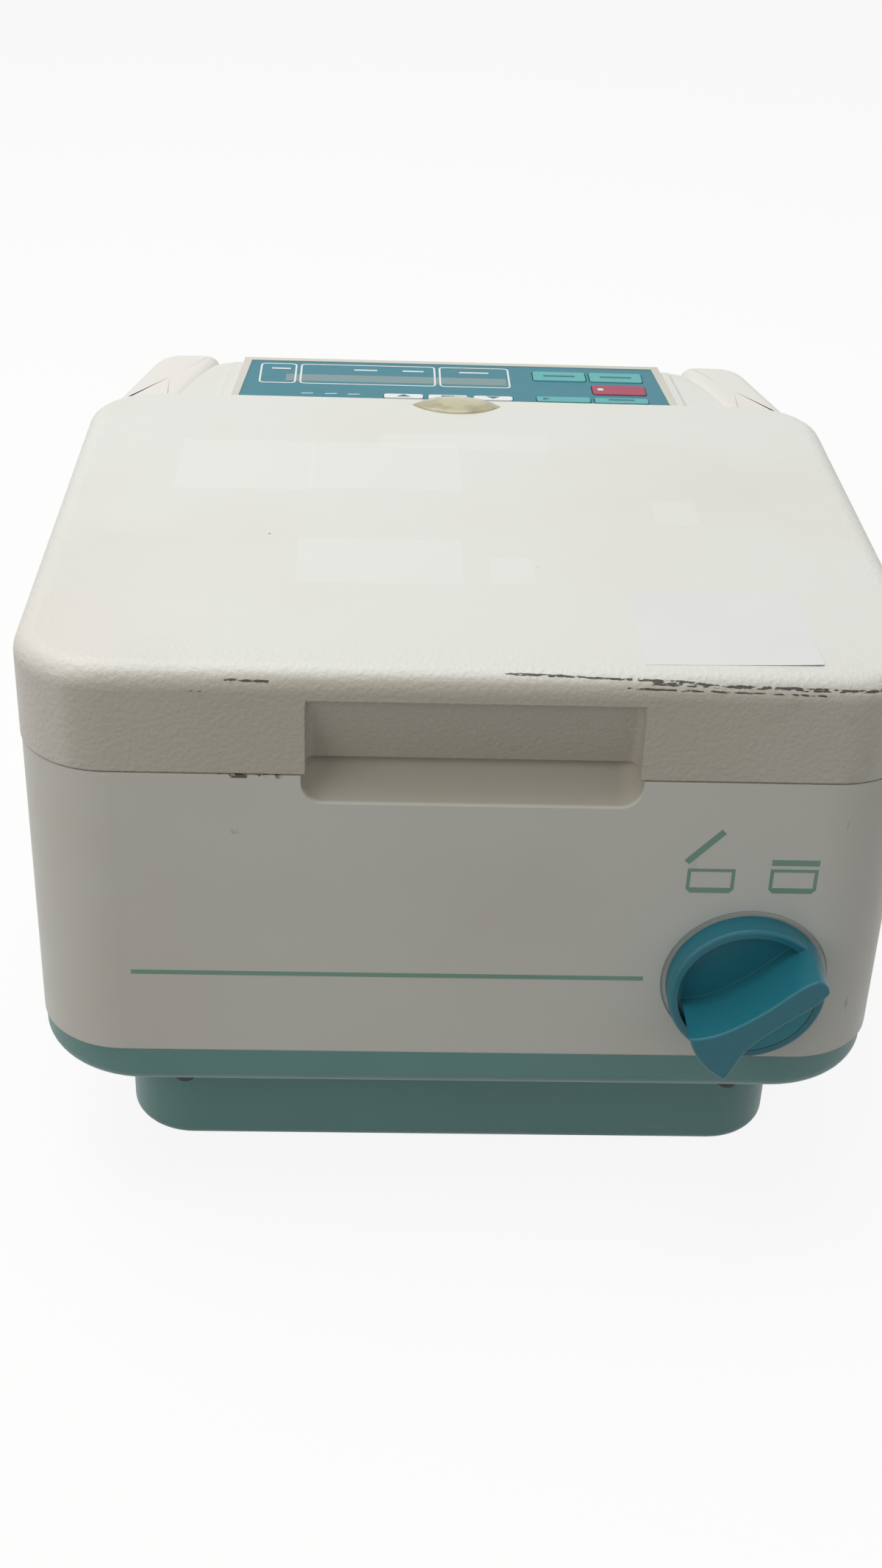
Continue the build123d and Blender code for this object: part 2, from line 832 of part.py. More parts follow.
with BuildPart() as lid_liner:
    extrude(
        rounded_plan(liner_width, liner_front, liner_back, liner_corner, liner_corner, liner_under),
        amount=liner_thick,
    )
    with Locations((0, deep(bowl_centre), liner_under)):
        Cylinder(liner_ring_radius, liner_ring_drop, align=HIGH)
        Cylinder(liner_ring_radius - liner_ring_width, liner_ring_drop, align=HIGH, mode=Mode.SUBTRACT)
    with Locations(*[(x, y, liner_under) for x, y in liner_spots]):
        Cylinder(lid_screw_radius, through_cut, mode=Mode.SUBTRACT)
save(lid_liner, "lid_liner")

with BuildPart() as liner_screws:
    with Locations(*[(x, y, liner_under) for x, y in liner_spots]):
        Cylinder(lid_screw_radius, liner_thick + lid_screw_length, align=LOW)
        Cylinder(lid_screw_head, lid_screw_head_height, align=HIGH)
save(liner_screws, "liner_screws")

with BuildPart() as striker:
    with Locations((striker_x + striker_thick / 2, striker_y, striker_bottom)):
        Box(striker_thick, striker_width, striker_foot_height - striker_bottom, align=LOW)
    with Locations((striker_foot_x, striker_y, striker_foot_height)):
        Box(striker_foot_length, striker_width, striker_foot_thick, align=LOW)
    with Locations((striker_x, striker_y, nose_height)):
        Box(4 * striker_thick, striker_window, striker_window, mode=Mode.SUBTRACT)
save(striker, "striker")

# Hinge ears on the deck and their pins, one pair on each side
for side, word in ((-1, "left"), (1, "right")):
    ear_middle = side * (ear_inner + ear_thick / 2)
    with BuildPart() as hinge_ear:
        with BuildSketch(side_plane(ear_middle - ear_thick / 2)):
            with Locations((deep(hinge_depth), hinge_height)):
                Circle(ear_radius)
                Rectangle(2 * ear_radius, hinge_height - seam_height, align=(Align.CENTER, Align.MAX))
            with Locations((deep(hinge_depth + ear_radius), seam_height)):
                Rectangle(ear_foot_depth + 2 * ear_radius, ear_foot_thick, align=(Align.MAX, Align.MIN))
            with Locations((deep(hinge_depth), hinge_height)):
                Circle(hinge_pin_radius + pin_gap, mode=Mode.SUBTRACT)
        extrude(amount=ear_thick)
        with Locations(*[(x, y, seam_height) for x, y in ear_screw_spots if x * side > 0]):
            Cylinder(ear_screw_radius, through_cut, mode=Mode.SUBTRACT)
    save(hinge_ear, f"hinge_ear_{word}")
    with BuildPart() as hinge_pin:
        with BuildSketch(side_plane(ear_middle - pin_half)):
            with Locations((deep(hinge_depth), hinge_height)):
                Circle(hinge_pin_radius)
        extrude(amount=2 * pin_half)
    save(hinge_pin, f"hinge_pin_{word}")

with BuildPart() as ear_screws:
    with Locations(*[(x, y, seam_height + ear_foot_thick) for x, y in ear_screw_spots]):
        Cylinder(ear_screw_radius, ear_foot_thick + wall, align=HIGH)
        Cylinder(ear_screw_head, ear_screw_head_height, align=LOW)
save(ear_screws, "ear_screws")

# Lock knob with its dished face and curved fin
fin_base = knob_disc - dish_depth
fin_lean = math.radians(fin_tilt)
fin_plane = Plane(
    origin=(knob_x, deep(-knob_gap - fin_base), knob_height),
    x_dir=(math.cos(fin_lean), 0, math.sin(fin_lean)),
    z_dir=(0, -1, 0),
)
with BuildPart() as knob:
    with BuildSketch(face_plane(-knob_gap)):
        with Locations((knob_x, knob_height)):
            Circle(knob_radius)
    extrude(amount=knob_disc)
    fillet(knob.faces().sort_by(Axis.Y)[0].edges(), knob_edge)
    with BuildSketch(face_plane(-knob_gap - knob_disc)):
        with Locations((knob_x, knob_height)):
            Circle(dish_radius)
    extrude(amount=-dish_depth, mode=Mode.SUBTRACT)
    with BuildSketch(fin_plane):
        with BuildLine():
            Spline(*fin_top)
            ThreePointArc(fin_top[-1], fin_end, fin_low[0])
            Spline(*fin_low)
            ThreePointArc(fin_low[-1], fin_heel, fin_top[0])
        make_face()
    extrude(amount=knob_reach - knob_gap - fin_base)
    fillet(knob.faces().sort_by(Axis.Y)[0].edges(), fin_round)
    with BuildSketch(face_plane(-knob_gap)):
        with Locations((knob_x, knob_height)):
            Circle(shaft_radius)
    extrude(amount=shaft_socket, mode=Mode.SUBTRACT)
save(knob, "knob")

with BuildPart() as knob_bush:
    for start, length, radius in ((0, bush_length, bush_radius), (wall, bush_flange_thick, bush_flange)):
        with BuildSketch(face_plane(start)):
            with Locations((knob_x, knob_height)):
                Circle(radius)
        extrude(amount=-length)
    with BuildSketch(face_plane(0)):
        with Locations((knob_x, knob_height)):
            Circle(shaft_radius + pin_gap)
    extrude(amount=-bush_length, mode=Mode.SUBTRACT)
save(knob_bush, "knob_bush")

with BuildPart() as knob_shaft:
    with BuildSketch(face_plane(-knob_gap - shaft_socket)):
        with Locations((knob_x, knob_height)):
            Circle(shaft_radius)
    extrude(amount=-knob_gap - shaft_socket - crank_start)
    with BuildSketch(face_plane(crank_start)):
        with Locations((knob_x, knob_height)):
            Circle(crank_radius)
    extrude(amount=-crank_thick)
    with BuildSketch(face_plane(crank_start + crank_thick)):
        with Locations((crank_pin_x, crank_pin_z)):
            Circle(crank_pin_radius)
    extrude(amount=crank_start + crank_thick - crank_pin_end)
save(knob_shaft, "knob_shaft")

# Sliding latch plate driven by the crank pin
slide_middle = slide_start + slide_thick / 2
with BuildPart() as latch_slide:
    with BuildSketch(face_plane(slide_start)):
        with Locations(((slide_left + slide_right) / 2, (slide_bottom + slide_top) / 2)):
            Rectangle(slide_right - slide_left, slide_top - slide_bottom)
        crank_slot_width = 2 * (crank_pin_radius + run_gap)
        crank_rise = knob_height + crank_throw - crank_pin_z
        with Locations((crank_pin_x, crank_pin_z + crank_rise / 2)):
            SlotOverall(
                crank_rise + crank_slot_width + run_gap,
                crank_slot_width,
                rotation=quarter_turn,
                mode=Mode.SUBTRACT,
            )
        guide_slot_width = 2 * (guide_pin_radius + run_gap)
        with Locations(*[(guide_pin_x - latch_travel / 2, height) for height in guide_pin_heights]):
            SlotOverall(latch_travel + guide_slot_width, guide_slot_width, mode=Mode.SUBTRACT)
    extrude(amount=-slide_thick)
    with Locations((slide_right + nose_length, deep(slide_middle), nose_height)):
        Box(nose_length + nose_root, nose_size, nose_size, align=(Align.MAX, Align.CENTER, Align.CENTER))
save(latch_slide, "latch_slide")

with BuildPart() as latch_guide:
    guide_width = guide_right - guide_left
    guide_tall = guide_top - guide_bottom
    guide_middle = ((guide_left + guide_right) / 2, (guide_bottom + guide_top) / 2)
    with BuildSketch(face_plane(wall + guide_seat)):
        with Locations(guide_middle):
            Rectangle(guide_width, guide_tall)
            Rectangle(guide_width - 2 * guide_thick, guide_tall, mode=Mode.SUBTRACT)
    extrude(amount=wall + guide_seat - guide_back)
    with BuildSketch(face_plane(guide_back)):
        with Locations(guide_middle):
            Rectangle(guide_width, guide_tall)
    extrude(amount=-guide_thick)
    with BuildSketch(face_plane(guide_back)):
        with Locations(*[(guide_pin_x, height) for height in guide_pin_heights]):
            Circle(guide_pin_radius)
    extrude(amount=guide_back - slide_start + guide_pin_radius / 2)
save(latch_guide, "latch_guide")

with BuildPart() as lid_switch:
    with Locations((guide_pin_x, deep(guide_back + guide_thick), guide_pin_heights[0])):
        Box(*lid_switch_size, align=(Align.CENTER, Align.MIN, Align.CENTER))
save(lid_switch, "lid_switch")

# Control panel: frame, membrane, display window, keys and the board below
with BuildPart() as panel_frame:
    extrude(
        trapezoid(
            membrane_front - frame_land,
            membrane_back + frame_strip,
            membrane_front_width + 2 * frame_strip,
            membrane_back_width + 2 * frame_strip,
            pad_top,
        ),
        amount=frame_lip,
    )
    extrude(
        trapezoid(
            membrane_front - tub_wall,
            membrane_back + tub_wall,
            membrane_front_width + 2 * tub_wall,
            membrane_back_width + 2 * tub_wall,
            frame_under,
        ),
        amount=pad_top - frame_under,
    )
    extrude(
        trapezoid(
            membrane_front, membrane_back, membrane_front_width, membrane_back_width, membrane_under
        ),
        amount=lid_top,
        mode=Mode.SUBTRACT,
    )
    board_middle = (membrane_front + membrane_back) / 2
    with Locations((0, deep(board_middle), board_top)):
        with GridLocations(board_size[0] - 2 * standoff_inset, board_size[1] - 2 * standoff_inset, 2, 2):
            Cylinder(standoff_radius, board_drop, align=LOW)
save(panel_frame, "panel_frame")

key_places = {}
for column, side_word in zip(key_columns, ("left", "right")):
    key_places[f"key_green_back_{side_word}"] = (column, key_rows[0], key_width, key_depth)
    key_places[f"key_green_front_{side_word}"] = (column, key_rows[2], key_width, front_key_depth)
key_places["key_red"] = (key_columns[1], key_rows[1], key_width, key_depth)
for column, side_word in zip(small_key_columns, ("left", "middle", "right")):
    key_places[f"key_white_{side_word}"] = (column, small_key_row, small_key_width, small_key_depth)

window_middle = ((window_left + window_right) / 2, deep((window_front + window_back) / 2))
window_size = (window_right - window_left, window_back - window_front)
with BuildPart() as control_panel:
    extrude(
        trapezoid(
            membrane_front, membrane_back, membrane_front_width, membrane_back_width, membrane_under
        ),
        amount=membrane_thick,
    )
    with BuildSketch(Plane.XY.offset(membrane_under)):
        with Locations(window_middle):
            Rectangle(*window_size)
        for x, place, width, depth in key_places.values():
            with Locations((x, deep(place))):
                RectangleRounded(width + 2 * run_gap, depth + 2 * run_gap, key_corner + run_gap)
    extrude(amount=lid_top, mode=Mode.SUBTRACT)
save(control_panel, "control_panel")

with BuildPart() as display_window:
    with BuildSketch(Plane.XY.offset(membrane_under)):
        with Locations(window_middle):
            Rectangle(*window_size)
    extrude(amount=membrane_thick)
save(display_window, "display_window")

for name, (x, place, width, depth) in key_places.items():
    with BuildPart() as key:
        with BuildSketch(Plane.XY.offset(membrane_under + key_float)):
            with Locations((x, deep(place))):
                RectangleRounded(width, depth, key_corner)
        extrude(amount=membrane_thick - key_float + key_proud)
        fillet(key.faces().sort_by(Axis.Z)[-1].edges(), key_edge)
    save(key, name)

with BuildPart() as control_board:
    with Locations((0, deep(board_middle), board_top)):
        Box(*board_size, board_thick, align=HIGH)
save(control_board, "control_board")

# Back plate with the mains inlet, fuse holder and power switch
plate_outer = body_depth - wall
with BuildPart() as back_plate:
    with BuildSketch(face_plane(plate_outer)):
        with Locations((plate_opening_x, plate_opening_z)):
            Rectangle(
                plate_opening_width + 2 * back_plate_margin, plate_opening_height + 2 * back_plate_margin
            )
        with Locations((inlet_x, plate_opening_z)):
            Rectangle(inlet_width + 2 * inlet_wall, inlet_height + 2 * inlet_wall, mode=Mode.SUBTRACT)
        with Locations((fuse_x, plate_opening_z)):
            Circle(fuse_radius, mode=Mode.SUBTRACT)
        switch_width = rocker_width + 2 * (run_gap + switch_wall)
        switch_tall = 2 * (rocker_radius + run_gap + switch_wall)
        with Locations((rocker_x, plate_opening_z)):
            Rectangle(switch_width, switch_tall, mode=Mode.SUBTRACT)
    extrude(amount=back_plate_thick)
save(back_plate, "back_plate")

with BuildPart() as power_inlet:
    with BuildSketch(face_plane(plate_outer)):
        with Locations((inlet_x, plate_opening_z)):
            Rectangle(inlet_width + 2 * inlet_wall, inlet_height + 2 * inlet_wall)
    extrude(amount=inlet_depth)
    with BuildSketch(face_plane(plate_outer)):
        with Locations((inlet_x, plate_opening_z)):
            Rectangle(inlet_flange_width, inlet_flange_height)
    extrude(amount=-inlet_flange)
    with BuildSketch(face_plane(plate_outer + inlet_flange)):
        with Locations((inlet_x, plate_opening_z)):
            Rectangle(inlet_width, inlet_height)
    extrude(amount=inlet_depth, mode=Mode.SUBTRACT)
    with BuildSketch(face_plane(plate_outer - inlet_depth + inlet_flange)):
        with Locations((inlet_x, plate_opening_z)):
            with Locations((-pin_spacing, 0), (pin_spacing, 0), (0, pin_spacing / 2)):
                Rectangle(pin_width, pin_depth)
    extrude(amount=-pin_length)
save(power_inlet, "power_inlet")

with BuildPart() as fuse_holder:
    with BuildSketch(face_plane(plate_outer)):
        with Locations((fuse_x, plate_opening_z)):
            Circle(fuse_radius)
    extrude(amount=inlet_depth)
    with BuildSketch(face_plane(plate_outer)):
        with Locations((fuse_x, plate_opening_z)):
            Circle(fuse_cap)
    extrude(amount=-inlet_flange)
    with BuildSketch(face_plane(plate_outer + inlet_flange)):
        with Locations((fuse_x, plate_opening_z)):
            Rectangle(fuse_cap, pin_width)
    extrude(amount=pin_width / 2, mode=Mode.SUBTRACT)
save(fuse_holder, "fuse_holder")

pivot_depth = plate_outer - rocker_sink
with BuildPart() as switch_frame:
    with BuildSketch(face_plane(plate_outer + rocker_rim)):
        with Locations((rocker_x, plate_opening_z)):
            Rectangle(switch_width, switch_tall)
    extrude(amount=switch_depth)
    with BuildSketch(face_plane(plate_outer + rocker_rim)):
        with Locations((rocker_x, plate_opening_z)):
            Rectangle(switch_width - 2 * switch_wall, switch_tall - 2 * switch_wall)
    extrude(amount=switch_depth - switch_wall, mode=Mode.SUBTRACT)
    with BuildSketch(side_plane(rocker_x - switch_width)):
        with Locations((deep(pivot_depth), plate_opening_z)):
            Circle(rocker_pin + pin_gap)
    extrude(amount=2 * switch_width, mode=Mode.SUBTRACT)
save(switch_frame, "switch_frame")


def rocker_point(out, up):
    """Point of the rocker's face, turned to its rest angle about the pivot."""
    turn = math.radians(rocker_half_angle)
    y = out * math.cos(turn) - up * math.sin(turn)
    z = out * math.sin(turn) + up * math.cos(turn)
    return (deep(pivot_depth) + y, plate_opening_z + z)


with BuildPart() as rocker:
    with BuildSketch(side_plane(rocker_x - rocker_width / 2)):
        with Locations((deep(pivot_depth), plate_opening_z)):
            Circle(rocker_radius)
        face_rise = 2 * rocker_radius * math.tan(math.radians(rocker_half_angle))
        with BuildLine():
            Polyline(
                rocker_point(rocker_nose, 0),
                rocker_point(rocker_nose + face_rise, 2 * rocker_radius),
                rocker_point(3 * rocker_radius, 2 * rocker_radius),
                rocker_point(3 * rocker_radius, -2 * rocker_radius),
                rocker_point(rocker_nose + face_rise, -2 * rocker_radius),
                close=True,
            )
        make_face(mode=Mode.SUBTRACT)
    extrude(amount=rocker_width)
    with BuildSketch(side_plane(rocker_x - switch_width / 2 + switch_wall / 2)):
        with Locations((deep(pivot_depth), plate_opening_z)):
            Circle(rocker_pin)
    extrude(amount=switch_width - switch_wall)
save(rocker, "power_rocker")

# Transformer and power board in the plinth
with BuildPart() as transformer:
    with Locations((transformer_x, deep(transformer_depth), pan_floor)):
        Box(*transformer_size, align=LOW)
        Box(*coil_size, align=LOW)
    chamfer(transformer.edges().filter_by(Axis.Z), transformer_edge)
save(transformer, "transformer")

with BuildPart() as power_board:
    with Locations((power_board_x, deep(power_board_depth), pan_floor + power_post_height)):
        Box(*power_board_size, board_thick, align=LOW)
        with GridLocations(power_part_pitch, 0, 3, 1):
            Box(*power_part_size, align=LOW)
save(power_board, "power_board")
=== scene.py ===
import math

import bmesh
import bpy
import numpy as np
from mathutils import Matrix, Vector


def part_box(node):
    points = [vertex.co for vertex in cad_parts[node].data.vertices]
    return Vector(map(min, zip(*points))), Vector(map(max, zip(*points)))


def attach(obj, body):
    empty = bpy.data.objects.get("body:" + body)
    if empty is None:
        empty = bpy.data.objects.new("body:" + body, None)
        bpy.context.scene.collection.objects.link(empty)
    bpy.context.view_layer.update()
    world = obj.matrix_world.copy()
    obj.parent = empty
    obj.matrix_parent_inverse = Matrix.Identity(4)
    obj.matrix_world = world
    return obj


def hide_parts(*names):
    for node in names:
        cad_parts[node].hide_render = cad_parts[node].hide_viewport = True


bl_info = {
    "name": "Benchtop centrifuge looks",
    "version": (1, 0, 0),
    "blender": (4, 5, 0),
    "location": "3D View > Sidebar > Centrifuge",
    "description": "Finishes and fine pieces of a benchtop centrifuge, around its CAD frame",
    "category": "Object",
}

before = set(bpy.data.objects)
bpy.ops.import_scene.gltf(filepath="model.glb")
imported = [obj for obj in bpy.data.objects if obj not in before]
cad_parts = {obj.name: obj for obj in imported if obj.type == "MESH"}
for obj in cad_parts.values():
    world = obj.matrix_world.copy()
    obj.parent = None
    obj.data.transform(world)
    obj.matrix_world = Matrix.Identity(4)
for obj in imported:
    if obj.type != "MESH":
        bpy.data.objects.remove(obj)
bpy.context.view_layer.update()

# Places read from the frame, in metres
MM = 0.001
front_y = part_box("housing")[0].y
lid_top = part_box("lid_shell")[1].z
membrane_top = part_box("control_panel")[1].z
plate_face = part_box("back_plate")[1].y
housing_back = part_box("housing")[1].y
PRINT_LIFT = 0.08 * MM
PRINT_SINK = 0.03 * MM


def paint(red, green, blue):
    """Linear colour of a screen colour given from 0 to 255."""
    screen = np.array([red, green, blue]) / 255
    linear = np.where(screen > 0.04045, ((screen + 0.055) / 1.055) ** 2.4, screen / 12.92)
    return tuple(linear.tolist())


def colour(title, words, default):
    """Colour property with a name, a description and a default."""
    return bpy.props.FloatVectorProperty(
        name=title, description=words, subtype="COLOR", size=3, min=0, max=1, default=default
    )


def length(title, words, default):
    """Length property in metres."""
    return bpy.props.FloatProperty(name=title, description=words, unit="LENGTH", default=default)


class CentrifugeColours(bpy.types.PropertyGroup):
    """Colours of the machine's finishes."""

    cream: colour("Cream paint", "Paint of the lid and the housing", paint(225, 225, 220))
    cream_worn: colour("Worn cream", "Cream paint that hands have dulled", paint(214, 209, 199))
    tape_ghost: colour("Tape ghost", "Paler cream where old tape kept the light off", paint(232, 233, 229))
    under_paint: colour("Under the paint", "Dark plastic that shows in chips", paint(84, 79, 74))
    pan: colour("Pan teal", "Moulded plastic of the lower pan", paint(108, 156, 154))
    knob: colour("Knob teal", "Moulded plastic of the lock knob", paint(34, 118, 136))
    print_teal: colour("Front print", "Ink of the symbols and the front stripe", paint(130, 170, 156))
    membrane: colour("Membrane teal", "Ground colour of the key panel", paint(44, 122, 138))
    key_green: colour("Green keys", "Printed green of the soft keys", paint(90, 174, 176))
    key_red: colour("Red key", "Printed red of the stop key", paint(162, 56, 84))
    key_white: colour("White keys", "Printed white of the arrow keys", paint(236, 240, 240))
    display: colour("Display", "Grey window of the display", paint(104, 136, 138))
    frame_strip: colour("Panel frame", "Beige strip round the key panel", paint(212, 209, 199))
    glass: colour("Sight glass", "Yellowed clear plastic", paint(214, 208, 172))


class CentrifugeSizes(bpy.types.PropertyGroup):
    """Sizes of the fine pieces that the CAD frame doesn't hold."""

    glass_crown: length("Glass crown", "How far the sight glass bulges above the lid", 2.4 * MM)
    label_width: length("Label width", "Width of the blank sticker on the lid", 62 * MM)
    label_depth: length("Label depth", "Depth of the blank sticker on the lid", 58 * MM)
    outline_width: length("Outline width", "Width of the white lines round the display fields", 0.9 * MM)
    stripe_width: length("Stripe width", "Width of the thin stripe on the front", 1.9 * MM)


class Signal:
    """A node's output that takes part in Python arithmetic; each operation adds one Math node."""

    def __init__(self, graph, socket):
        self.graph = graph
        self.socket = socket

    def math(self, operation, left, right=0.0):
        """Math node with this operation on two values or signals."""
        return self.graph.node("ShaderNodeMath", {"operation": operation}, {0: left, 1: right})

    def __add__(self, other):
        return self.math("ADD", self, other)

    def __radd__(self, other):
        return self.math("ADD", other, self)

    def __sub__(self, other):
        return self.math("SUBTRACT", self, other)

    def __rsub__(self, other):
        return self.math("SUBTRACT", other, self)

    def __mul__(self, other):
        return self.math("MULTIPLY", self, other)

    def __rmul__(self, other):
        return self.math("MULTIPLY", other, self)

    def __truediv__(self, other):
        return self.math("DIVIDE", self, other)

    def __pow__(self, other):
        return self.math("POWER", self, other)

    def __abs__(self):
        return self.math("ABSOLUTE", self)

    def most(self, other):
        """The larger of the two, point by point."""
        return self.math("MAXIMUM", self, other)

    def step(self, low, high):
        """0 below low, 1 above high and a smooth rise between; low may be the larger, for a fall."""
        ends = (low, high, 0.0, 1.0) if low < high else (high, low, 1.0, 0.0)
        inputs = dict(enumerate((self, *ends)))
        return self.graph.node("ShaderNodeMapRange", {"interpolation_type": "SMOOTHSTEP"}, inputs)

    def band(self, low, high, soft):
        """1 between low and high, falling to 0 over a soft edge outside them."""
        return self.step(low - soft, low) * self.step(high + soft, high)


class Graph:
    """A node tree in the making, with one method that adds any node."""

    def __init__(self, tree):
        self.tree = tree

    def node(self, kind, settings=None, inputs=None, output=0):
        """Adds a node, sets its settings first and then its sockets, and returns one of its outputs."""
        made = self.tree.nodes.new(kind)
        for name, value in (settings or {}).items():
            setattr(made, name, value)
        for name, value in (inputs or {}).items():
            self.feed(made.inputs[name], value)
        return Signal(self, made.outputs[output])

    def feed(self, socket, value):
        """Links a signal to a socket, or sets the socket to a plain value."""
        if isinstance(value, Signal):
            self.tree.links.new(value.socket, socket)
        elif socket.type == "RGBA":
            socket.default_value = (*value, 1.0)
        else:
            socket.default_value = value

    def seen(self):
        """1 for rays from the camera, off glossy surfaces and through clear ones."""
        from_camera = self.node("ShaderNodeLightPath", output="Is Camera Ray")
        rays = from_camera.socket.node.outputs
        glossy, clear = Signal(self, rays["Is Glossy Ray"]), Signal(self, rays["Is Transmission Ray"])
        return from_camera.most(glossy).most(clear)


class Finish(Graph):
    """One material in the making, with its object coordinates."""

    def __init__(self, name, **constants):
        self.material = bpy.data.materials.new(name)
        self.material.use_nodes = True
        super().__init__(self.material.node_tree)
        self.shader = self.tree.nodes["Principled BSDF"]
        self.place = self.node("ShaderNodeTexCoord", output="Object")
        split = self.node("ShaderNodeSeparateXYZ", inputs={0: self.place})
        outputs = split.socket.node.outputs
        self.x, self.y, self.z = [Signal(self, outputs[axis]) for axis in range(3)]
        for socket, value in constants.items():
            self.set(socket.replace("_", " "), value)

    def set(self, name, value):
        """Sets or links one socket of the surface shader."""
        self.feed(self.shader.inputs[name], value)

    def surface(self, base, roughness):
        """Sets the surface's colour and its roughness."""
        self.set("Base Color", base)
        self.set("Roughness", roughness)

    def noise(self, scale, detail=2.0, stretch=(1.0, 1.0, 1.0)):
        """Soft noise from 0 to 1, with so many features to the metre."""
        where = self.node("ShaderNodeMapping", inputs={"Vector": self.place, "Scale": stretch})
        return self.node("ShaderNodeTexNoise", inputs={"Vector": where, "Scale": scale, "Detail": detail})

    def dots(self, scale):
        """Distance to the nearest of scattered points, in cells."""
        return self.node("ShaderNodeTexVoronoi", inputs={"Vector": self.place, "Scale": scale})

    def mix(self, amount, first, second):
        """Colour that goes from first to second with amount."""
        settings = {"data_type": "RGBA", "clamp_factor": True}
        return self.node("ShaderNodeMix", settings, {0: amount, 6: first, 7: second}, output=2)

    def relief(self, height, strength, distance, rounding=0.0):
        """Bumps the surface by a height, over edges softened by a rounding radius in metres."""
        inputs = {"Height": height, "Strength": strength, "Distance": distance}
        if rounding:
            inputs["Normal"] = self.node("ShaderNodeBevel", {"samples": 4}, {"Radius": rounding})
        self.set("Normal", self.node("ShaderNodeBump", inputs=inputs))

    def patch(self, across, up, middle, half, soft):
        """1 inside a rectangle on two axes; its middle, half sizes and soft edge are in millimetres."""
        sides = across.band((middle[0] - half[0]) * MM, (middle[0] + half[0]) * MM, soft * MM)
        return sides * up.band((middle[1] - half[1]) * MM, (middle[1] + half[1]) * MM, soft * MM)

    def oval(self, across, up, middle, half):
        """1 at the middle of an oval on two axes, in millimetres, falling to 0 at its edge."""
        far_across = (across - middle[0] * MM) / (half[0] * MM)
        far_up = (up - middle[1] * MM) / (half[1] * MM)
        return (far_across**2.0 + far_up**2.0).step(1.0, 0.15)


def shaded(base, factor):
    """Colour made darker or paler by a factor."""
    return tuple(min(1.0, part * factor) for part in base)


def moulded(name, base, roughness=0.45, grain=900.0, depth=0.05, rounding=0.0, shade=0.9):
    """Plain moulded or painted finish: a colour with faint clouds and a fine grain."""
    finish = Finish(name)
    clouds = finish.mix(finish.noise(14.0, 4.0).step(0.35, 0.75), base, shaded(base, shade))
    finish.surface(clouds, finish.noise(40.0, 3.0) * 0.12 + (roughness - 0.06))
    finish.relief(finish.noise(grain), 0.3, depth * MM, rounding)
    return finish.material


def brushed(name, base, roughness=0.3, stretch=(1.0, 1.0, 30.0), scale=120.0, bare=1.0):
    """Brushed metal: a grain drawn out along one direction, in colour, gloss and relief."""
    finish = Finish(name)
    grain = finish.noise(scale, 4.0, stretch)
    finish.surface(finish.mix(grain, shaded(base, 0.78), base), grain * 0.18 + (roughness - 0.09))
    finish.set("Metallic", bare)
    finish.relief(grain, 0.15, 0.02 * MM)
    return finish.material


def turned(name, base, roughness=0.3, pitch=900.0):
    """Metal turned about the spin axis: fine rings, from noise of the distance to that axis."""
    finish = Finish(name)
    radius = (finish.x**2.0 + (finish.y - middle_of("rotor_body")[1]) ** 2.0) ** 0.5
    rings = finish.node("ShaderNodeCombineXYZ", inputs={0: radius, 1: finish.z})
    grain = finish.node("ShaderNodeTexNoise", inputs={"Vector": rings, "Scale": pitch, "Detail": 3.0})
    finish.surface(finish.mix(grain, shaded(base, 0.8), base), grain * 0.2 + (roughness - 0.1))
    finish.set("Metallic", 1.0)
    finish.relief(grain, 0.12, 0.02 * MM)
    return finish.material


def cream_base(finish, colours):
    """Cream paint with dulled clouds, before marks and chips."""
    clouds = finish.noise(11.0, 5.0).step(0.42, 0.8)
    return finish.mix(clouds * 0.4, colours.cream, colours.cream_worn)


def grip_recess_shade(finish, base, depth):
    """Painted shade in the grip recess on the lid and in the scoop under it, partly hand dirt: darker
    brownish cream on faces set back from the front.
    """
    grip = finish.patch(finish.x, finish.z, (0.0, 198.0), (66.0, 33.0), 3.0)
    deep_enough = depth.step(40 * MM, 34 * MM) * depth.step(0.5 * MM, 2 * MM)
    # painted shade: set-back grip faces mixed towards a dark brownish cream, also standing for hand dirt
    return finish.mix(grip * deep_enough * 0.6, base, paint(176, 168, 150))


# Paler rectangles on the lid: middle and half size in X and in depth behind the front
TAPE_GHOSTS = (
    ((-32.0, 186.0), (31.0, 25.0)),
    ((-34.0, 91.0), (31.0, 19.5)),
    ((16.0, 84.0), (8.0, 11.0)),
    ((85.0, 142.0), (8.5, 11.0)),
    ((2.0, 214.0), (36.0, 8.0)),
    ((-90.0, 184.0), (28.0, 26.0)),
)
# Chips along the lid's front edge: middle in X and height, and half size
LID_CHIPS = (
    ((102.0, 233.4), (42.0, 1.3)),
    ((44.0, 235.2), (34.0, 0.7)),
    ((86.0, 232.0), (34.0, 0.7)),
    ((-79.0, 232.8), (7.0, 0.9)),
    ((-97.0, 229.0), (2.5, 0.8)),
)
# How far a line of chips falls for each unit to the right
CHIP_FALL = 0.018


